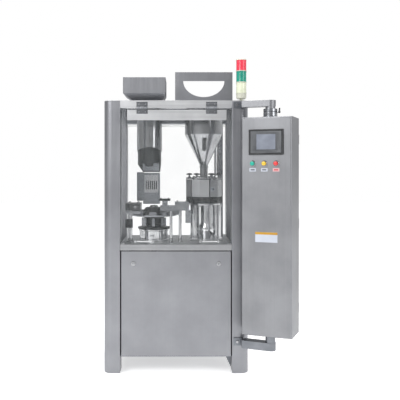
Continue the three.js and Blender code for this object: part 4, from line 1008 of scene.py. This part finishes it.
class FILLER_OT_dosing(bpy.types.Operator):
    """Dosing bowl with its panels, dosing disc, tamping plate with mushroom knobs, and the stand"""

    bl_idname = "filler.dosing"
    bl_label = "Dosing"

    def execute(self, context):
        lo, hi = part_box("dosing_bowl")
        centre = middle("dosing_bowl")
        r = (hi.x - lo.x) / 2
        band = lo.z + 43 * MM
        bore = 15 * MM
        wall = 9 * MM
        outer = [(bore, lo.z), (r - 5 * MM, lo.z), (r - 5 * MM, band), (r, band + 1 * MM), (r, hi.z),
                 (r - wall, hi.z), (r - wall, band + 9 * MM), (bore, band + 9 * MM), (bore, lo.z)]
        bowl = turned(centre, outer, 12, 0, True, math.radians(15))
        paint(bowl, "level", "dark")
        for face in bowl.data.polygons:
            face.material_index = 1 if face.center.z < band + 0.4 * MM else 0
        soften(bowl, 1, 2, 20)
        posts = []
        for i in range(BOWL_PINS):
            angle = math.radians(-90 + 15 + i * 360 / BOWL_PINS)
            spot = Vector((centre.x + (r - 2.5 * MM) * math.cos(angle),
                         centre.y + (r - 2.5 * MM) * math.sin(angle)))
            pin = rings(0, lo.z, (4, 2)) + rings(0, hi.z, (4, -1), (5.5, -1), (5.5, 2.4))
            posts.append(paint(turned(spot, pin, 20), "dark"))
        spot = (centre.x + 52 * MM, centre.y - 111 * MM, band)
        plate = block(at(spot, -13, -1.5, 38), at(spot, 13, 2, 64), 0.6)
        marks = [block(at(spot, x - 3.5, -2.4, 41), at(spot, x + 3.5, 1, 61), 0.3) for x in (-6, 6)]
        for part, finish in ((plate, "white_label"), *((mark, "black") for mark in marks)):
            posts.append(paint(spun(part, spot, math.radians(30)), finish))
        skin(joined(bowl, *posts), "dosing_bowl", "brushed_steel", None)

        lo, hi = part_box("dosing_disc")
        r = (hi.x - lo.x) / 2
        steps = [(14 * MM, lo.z), (14 * MM, hi.z - 20 * MM), (r, hi.z - 20 * MM), (r, hi.z), (8 * MM, hi.z)]
        disc = turned(centre, steps, 96, 0.8)
        pins = []
        for i in range(DISC_CELLS):
            angle = i * 2 * math.pi / DISC_CELLS
            spot = (centre.x + 0.86 * r * math.cos(angle), centre.y + 0.86 * r * math.sin(angle))
            pins.append(bush(spot, hi.z, 4.6, 3, -2, 0.8, 12, "turned"))
        skin(joined(paint(disc, "polished"), *pins), "dosing_disc", "polished_steel", None, "dosing_disc")

        self.tamping(centre)
        stand = dosing_stand()
        skin(stand, "dosing_stand", "polished_steel", None)
        return {"FINISHED"}

    def tamping(self, centre):
        lo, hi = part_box("tamping_head")
        plate_z = high("dosing_bowl").z + 4 * MM
        top = plate_z + 10 * MM
        inner, outer = 30 * MM, 122 * MM
        wall = [(inner, plate_z), (outer, plate_z), (outer, top), (inner, top), (inner, plate_z)]
        plate = turned(centre, wall, 96, 1.2, True)
        parts = [paint(plate, "polished")]
        for i in range(KNOBS):
            angle = i * 2 * math.pi / KNOBS
            way = Vector((math.cos(angle), math.sin(angle)))
            spot = Vector((centre.x, centre.y)) + way * KNOB_CIRCLE
            stem = turned(spot, rings(0, top, (6, -1), (6, 19)), 24)
            collar = turned(spot, rings(0, top, (11, -0.5), (11, 4), (7, 6)), 32, 0.4)
            cap = rings(0, top, (9, 16.5), (20.5, 19), (21.6, 22), (18, 25.5)) + rings(0, hi.z, (7, -0.3),
                (1, 0))
            head = turned(spot, cap, 40, 0.6)
            parts += [paint(stem, "turned"), paint(collar, "polished"), paint(head, "black")]
            inside = Vector((centre.x, centre.y)) + way * 70 * MM
            pin = turned(inside, [(9 * MM, lo.z), (9 * MM, plate_z + 1 * MM)], 24, 0.8)
            parts.append(paint(pin, "turned"))
            parts.append(paint(turned(inside, rings(0, top, (8, -1), (8, 9)), 6, 0.6), "polished"))
        skin(joined(*parts), "tamping_head", "polished_steel", None, "tamping_head")


def dosing_stand():
    """Three polished columns between a foot plate and a head plate, the front one with a bell foot. Behind
    them a square column with a guide rod beside it runs up to the roof."""
    lo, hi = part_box("dosing_stand")
    bowl = middle("dosing_bowl")
    z = lo.z
    top = low("dosing_bowl").z - 0.3 * MM

    def level(x0, x1, y0, y1, z0, z1, edge):
        return block((bowl.x + x0 * MM, bowl.y + y0 * MM, z0), (bowl.x + x1 * MM, bowl.y + y1 * MM, z1), edge)

    foot = level(-98, 122, -54, 76, z, z + 10 * MM, 2)
    head = turned(bowl, rings(0, top, (110, -12), (110, 0)), 96, 1.5)
    bell = rings(0, z, (46, 0), (46, 10), (42, 12), (44, 30), (50, 62), (50.5, 76), (49, 90))
    bell += rings(0, z, (42, 104), (38, 116)) + rings(0, top, (38, -30), (42, -26), (42, -11))
    parts = [turned(at((bowl.x, bowl.y), 13, -20), bell, 96, 0.6)]
    column = rings(0, z, (38, 9), (38, 18), (33, 20)) + rings(0, top, (33, -30), (36, -28), (36, -11))
    for x in (-61, 84):
        parts.append(turned(at((bowl.x, bowl.y), x, 30), column, 80, 0.6))
    parts.append(level(102, 136, 70, 172, z, z + 10 * MM, 1))
    parts.append(paint(level(102, 136, 136, 172, z, hi.z, 3), "turned"))
    rod_low = high("dosing_bowl").z + 20 * MM
    parts.append(turned((bowl.x + 88 * MM, bowl.y + 152 * MM), [(12.5 * MM, rod_low), (12.5 * MM, hi.z)], 40,
                        1))
    for tie in (rod_low + 40 * MM, hi.z - 120 * MM):
        parts.append(paint(level(84, 104, 144, 160, tie, tie + 24 * MM, 1.5), "dark"))
    for part in (foot, head, *parts):
        if not part.data.materials:
            paint(part, "bright")
    return joined(foot, head, *parts)


def on_cabinet(*parts):
    """Carries parts modelled square to the axes, about the swivel, to where the parked cabinet stands."""
    piece = joined(*parts)
    piece.location = (PIVOT.x, PIVOT.y, 0)
    piece.rotation_euler = (0, 0, CABINET_TURN)
    apply_place(piece)
    return piece


class FILLER_OT_cabinet(bpy.types.Operator):
    """Arms, control cabinet with its door, collar and lever, operator screen, push-buttons and labels"""

    bl_idname = "filler.cabinet"
    bl_label = "Control cabinet"

    def execute(self, context):
        sizes = context.scene.looks_sizes
        x, y = sizes.cabinet_width / 2, sizes.cabinet_depth / 2
        lo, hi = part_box("cabinet_shell")
        door = 3.7 * MM
        back = y - door - 0.3 * MM
        shell = rounded_block((-x, -y, lo.z), (x, back, hi.z), [(-x, -y), (x, -y)], 10 * MM, 1, 6)
        sheet = 3 * MM
        cavity = block((sheet - x, sheet - y, lo.z + sheet), (x - sheet, y + 1 * MM, hi.z - sheet), 0)
        screen_lo, screen_hi = low("screen_panel").z, high("screen_panel").z
        window = block((-99 * MM, -y - 2 * MM, screen_lo + 7 * MM),
                       (99 * MM, 2 * sheet - y, screen_hi - 7 * MM), 0)
        cut(shell, cavity, window)
        soften(shell, 0)
        skin(on_cabinet(shell), "cabinet_shell", "brushed_steel", "cabinet", "cabinet")

        leaf = rounded_block((-x, y - 60 * MM, lo.z), (x - 3 * MM, y, hi.z), [(-x, y)], 10 * MM, 0.8, 6)
        cut(leaf, block((-x - 1, y - 1, lo.z - 1), (x + 1, y - door, hi.z + 1), 0))
        pull = block(at((-x, y, lo.z), 24, -1, 610), at((-x, y, lo.z), 44, 1.6, 700), 0.8)
        hinges = []
        for z in at((lo.z, lo.z, hi.z), 120, 640, -160):
            hinges.append(bar(at((x, y, z), -3, 0.6, 0), at((x, y, z), -3, 0.6, 60), 3.6 * MM, 20, 0.5))
        leaf_parts = [paint(leaf, "cabinet"), paint(pull, "black")]
        leaf_parts += [paint(hinge, "polished") for hinge in hinges]
        skin(on_cabinet(*leaf_parts), "cabinet_door", "brushed_steel", None, "cabinet_door")
        self.front(x, y)
        self.fittings(x, y)
        return {"FINISHED"}

    def front(self, x, y):
        lo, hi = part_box("screen_panel")
        half = 106 * MM
        face = block((-half, -y - 9 * MM, lo.z), (half, -y - 0.3 * MM, hi.z), 2, 3)
        cut(face, block(at((-half, -y, lo.z), 10, -12, 10), at((half, -y, hi.z), -10, -6.6, -10), 0))
        bezel = block(at((-half, -y, lo.z), 11, -8, 11), at((half, -y, hi.z), -11, -5, -11), 0.6)
        glass_lo, glass_hi = lo.z + 31 * MM, hi.z - 29 * MM
        cut(bezel, block((-59 * MM, -y - 12 * MM, glass_lo), (59 * MM, -y - 6.6 * MM, glass_hi), 0))
        glass = block((-58.6 * MM, -y - 6.8 * MM, glass_lo + 0.4 * MM),
                      at((0, -y, glass_hi), 58.6, -5.6, -0.4), 0.3)
        casing = block((-98 * MM, -y - 1 * MM, lo.z + 8 * MM), at((0, -y, hi.z), 98, 40, -8), 1)
        parts = [paint(face, "black"), paint(bezel, "bezel")]
        parts += [paint(glass, "screen"), paint(casing, "black")]
        put(on_cabinet(*parts), "operator_screen", "cabinet", "black_plastic", None, "screen_panel")

        bezels = []
        labels = []
        names = ("green", "yellow", "red")
        z = middle("button_green").z
        for i, name in enumerate(names):
            spot = (72 + 72 * i) * MM - x
            wall = rings(0, 0, (17.5, 0), (17.5, 2), (15.5, 4), (13.6, 4), (13.6, 0), (17.5, 0))
            ring = turned((spot, 0), wall, 48, 0, True)
            stand_up(ring, (0, -y, z))
            bezels.append(paint(ring, "polished"))
            cap = turned((spot, 0), rings(0, 0, (13, 0), (13, 7), (11.5, 10), (6, 11), (1, 11)), 48, 0.5)
            stand_up(cap, (0, -y - 9 * MM, z))
            stem = turned((spot, 0), rings(0, 0, (7.8, 0), (7.8, 22)), 32)
            stand_up(stem, (0, 13 * MM - y, z))
            skirt = turned((spot, 0), rings(0, 0, (12.2, 0), (12.2, 2.6)), 40)
            stand_up(skirt, (0, -y - 6.6 * MM, z))
            button = on_cabinet(paint(cap, name + "_button"), paint(stem, "black"), paint(skirt, "black"))
            put(button, f"button_{name}_cap", "button_" + name, "button_" + name, None, "button_" + name)
            plate_z = z - 38 * MM
            finish = "pink_label" if name == "red" else "white_label"
            ink = "red_ink" if name == "red" else "label_ink"
            under = (spot, -y, plate_z)
            labels.append(paint(block(at(under, -20, -1.2, -10), at(under, 20, 0.5, 10), 0.4), finish))
            labels.append(paint(block(at(under, -13, -1.5, -4), at(under, 13, 0, 4), 0.2), ink))
        put(on_cabinet(*bezels), "button_rings", "cabinet", "polished_steel", None)
        left, right, bottom, top = 88 * MM - x, 224 * MM - x, 848 * MM, 909 * MM
        notice = [paint(block((left, -y - 1 * MM, bottom), (right, -y + 0.5 * MM, top), 0.4), "white_label")]
        band = block(at((left, -y, top), 0, -1.3, -15), (right, -y, top - 0.5 * MM), 0.3)
        notice.append(paint(band, "ochre_label"))
        put(on_cabinet(*labels, *notice), "blank_labels", "cabinet", "tower_plastic", None)

    def fittings(self, x, y):
        lo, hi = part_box("cabinet_collar")
        neck = 30.8 * MM
        r = 42.5 * MM
        profile = [(neck, lo.z)] + rings(0, lo.z, (54, 0), (54, 6)) + rings(r, lo.z, (0, 9))
        profile += rings(r, hi.z, (0, -22), (-2, -20), (0, -18), (0, 0)) + [(neck, hi.z), (neck, lo.z)]
        collar = turned((0, 0), profile, 80, 0.8, True)
        skin(on_cabinet(collar), "cabinet_collar", "light_steel", "turned", "cabinet")
        z = middle("clamp_lever").z - 10.5 * MM
        screw = bar((r + 1 * MM, 0, z), (r + 16 * MM, 0, z), 5 * MM, 24, 0.6)
        hub = bar((r + 8 * MM, 0, z), (r + 19 * MM, 0, z), 8 * MM, 28, 1.5)
        grip = bar((r + 13 * MM, 0, z), at((r, 0, z), 15, 0, 24), 4.4 * MM, 20, 2)
        lever = on_cabinet(paint(screw, "polished"), paint(hub, "black"), paint(grip, "black"))
        skin(lever, "clamp_lever", "black_plastic", None, "clamp_lever")
        for node in ("arm_upper", "arm_lower"):
            arm = refined(node, 3, 3, 30)
            z0, z1 = (1670 * MM, 1708 * MM) if node == "arm_upper" else (178 * MM, 226 * MM)
            boss = turned(PIVOT, [(33 * MM, z0), (33 * MM, z1)], 64, 3)
            far = (1612 * MM, z0 + 5 * MM) if node == "arm_upper" else (z1 - 5 * MM, 280.7 * MM)
            sleeve = turned(PIVOT, [(30.1 * MM, far[0]), (30.1 * MM, far[1])], 64, 1)
            plate_x = low(node).x
            bolt = bar(at((plate_x, FRONT, (z0 + z1) / 2), 22, -16, 0),
                       at((plate_x, FRONT, (z0 + z1) / 2), 22, -7, 0), 9 * MM, 6, 1)
            plate = block((plate_x, FRONT - 8.4 * MM, z0), at((plate_x, FRONT, z1), 56, -0.3, 0), 1.2)
            # The lower arm, its boss and sleeve get the darker grey: painted shade, as that arm lies in
            # shadow. The upper arm keeps the cabinet steel.
            finish = "cabinet" if node == "arm_upper" else "grey"
            parts = [paint(p, finish) for p in (arm, boss, sleeve)]
            parts += [paint(plate, "grey"), paint(bolt, "polished")]
            skin(joined(*parts), node, "brushed_steel", None)


def stand_up(piece, place):
    """Turns a shape that was turned about Z so that its axis points at the operator, and moves it."""
    piece.rotation_euler = (math.pi / 2, 0, 0)
    apply_place(piece)
    piece.location = place
    apply_place(piece)


class FILLER_OT_tower(bpy.types.Operator):
    """Signal tower: foot, pole, spacers, ribbed lenses and cap"""

    bl_idname = "filler.tower"
    bl_label = "Signal tower"

    def execute(self, context):
        lo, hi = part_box("tower_base")
        centre = middle("tower_base")
        r = (hi.x - lo.x) / 2
        parts = [turned(centre, rings(0, lo.z, (18, 0), (18, 5), (10, 9), (8, 12)) + rings(0, hi.z, (8, -6)),
                        40, 0.6)]
        bottoms = [low(f"lens_{name}").z for name in ("cream", "green", "red")]
        foot = bottoms[0] - 36.3 * MM
        steps = rings(r, foot, (-8, 0), (-2, 5), (-1, 26), (0, 31))
        parts.append(turned(centre, steps, 64, 0.6))
        for z in bottoms:
            parts.append(turned(centre, rings(r, z, (-5, -6.1), (0, -4.6), (0, -0.5), (-3, -0.4)), 64, 0.4))
        top = high("lens_red").z + 0.3 * MM
        cap = rings(r, top, (0, 0), (0, 4), (-2, 7)) + rings(r, hi.z, (-12, -0.2)) + rings(0, hi.z, (2, 0))
        parts.append(turned(centre, cap, 64, 0.5))
        put(joined(*parts), "tower_body", "machine_frame", "tower_plastic", "cream_plastic", "tower_base")
        for name in ("cream", "green", "red"):
            node = "lens_" + name
            lo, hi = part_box(node)
            inner, outer = 9 * MM, r - 0.4 * MM
            waist = outer - 1.2 * MM
            profile = [(inner, lo.z)] + rings(outer, lo.z, (0, 0), (0, 3)) + rings(waist, lo.z, (0, 5))
            profile += rings(waist, hi.z, (0, -5)) + rings(outer, hi.z, (0, -3), (0, 0)) + [(inner, hi.z),
                (inner, lo.z)]
            lens = turned(centre, profile, 96, 0.4, True)
            skin(lens, node, node, name + "_lens")
        return {"FINISHED"}


class FILLER_OT_drive(bpy.types.Operator):
    """Gear motor with its fan cover and fins, pulleys, belt, camshaft and drive frame"""

    bl_idname = "filler.drive"
    bl_label = "Base drive"

    def execute(self, context):
        lo = low("gear_motor")
        motor = paint(refined("gear_motor", 3, 3, 30), "enamel")
        y, z, r = middle("gear_motor").y, JOINT["drive_pulley_turn"]["pos_m"][2] - 20 * MM, 68 * MM
        fins = []
        for i in range(FINS):
            x = lo.x + 46 * MM + i * 11 * MM
            fins.append(paint(bar((x, y, z), (x + 3 * MM, y, z), r + 5 * MM, 40), "enamel"))
        fins.append(paint(bar((lo.x, y, z), (lo.x + 34 * MM, y, z), r + 4 * MM, 48, 6), "black"))
        skin(joined(motor, *fins), "gear_motor", "machine_paint", None)
        for node, body, finish, slot in (
            ("drive_frame", "machine_frame", "enamel", "machine_paint"),
            ("drive_belt", "machine_frame", "rubber", "belt_rubber"),
            ("camshaft", "camshaft", "turned", "light_steel"),
            ("drive_pulley", "drive_pulley", "turned", "light_steel"),
        ):
            edge = 0.6 if node == "drive_belt" else 1.5
            skin(refined(node, edge), node, slot, finish, body)
        return {"FINISHED"}


class FILLER_PT_panel(bpy.types.Panel):
    bl_idname = "FILLER_PT_panel"
    bl_label = "Capsule filler"
    bl_space_type = "VIEW_3D"
    bl_region_type = "UI"
    bl_category = "Capsule filler"

    def draw(self, context):
        for operator in OPERATORS:
            self.layout.operator(operator.bl_idname)


OPERATORS = (
    FILLER_OT_stage,
    FILLER_OT_body,
    FILLER_OT_panels,
    FILLER_OT_windows,
    FILLER_OT_capsule_feed,
    FILLER_OT_turret,
    FILLER_OT_powder_feed,
    FILLER_OT_dosing,
    FILLER_OT_cabinet,
    FILLER_OT_tower,
    FILLER_OT_drive,
)
CLASSES = (LooksColours, LooksSizes, *OPERATORS, FILLER_PT_panel)


def register():
    for cls in CLASSES:
        bpy.utils.register_class(cls)
    bpy.types.Scene.looks_colours = bpy.props.PointerProperty(type=LooksColours)
    bpy.types.Scene.looks_sizes = bpy.props.PointerProperty(type=LooksSizes)


def unregister():
    del bpy.types.Scene.looks_sizes
    del bpy.types.Scene.looks_colours
    for cls in reversed(CLASSES):
        bpy.utils.unregister_class(cls)


def main():
    register()
    for operator in OPERATORS:
        group, name = operator.bl_idname.split(".")
        getattr(getattr(bpy.ops, group), name)()


if __name__ == "__main__":
    main()
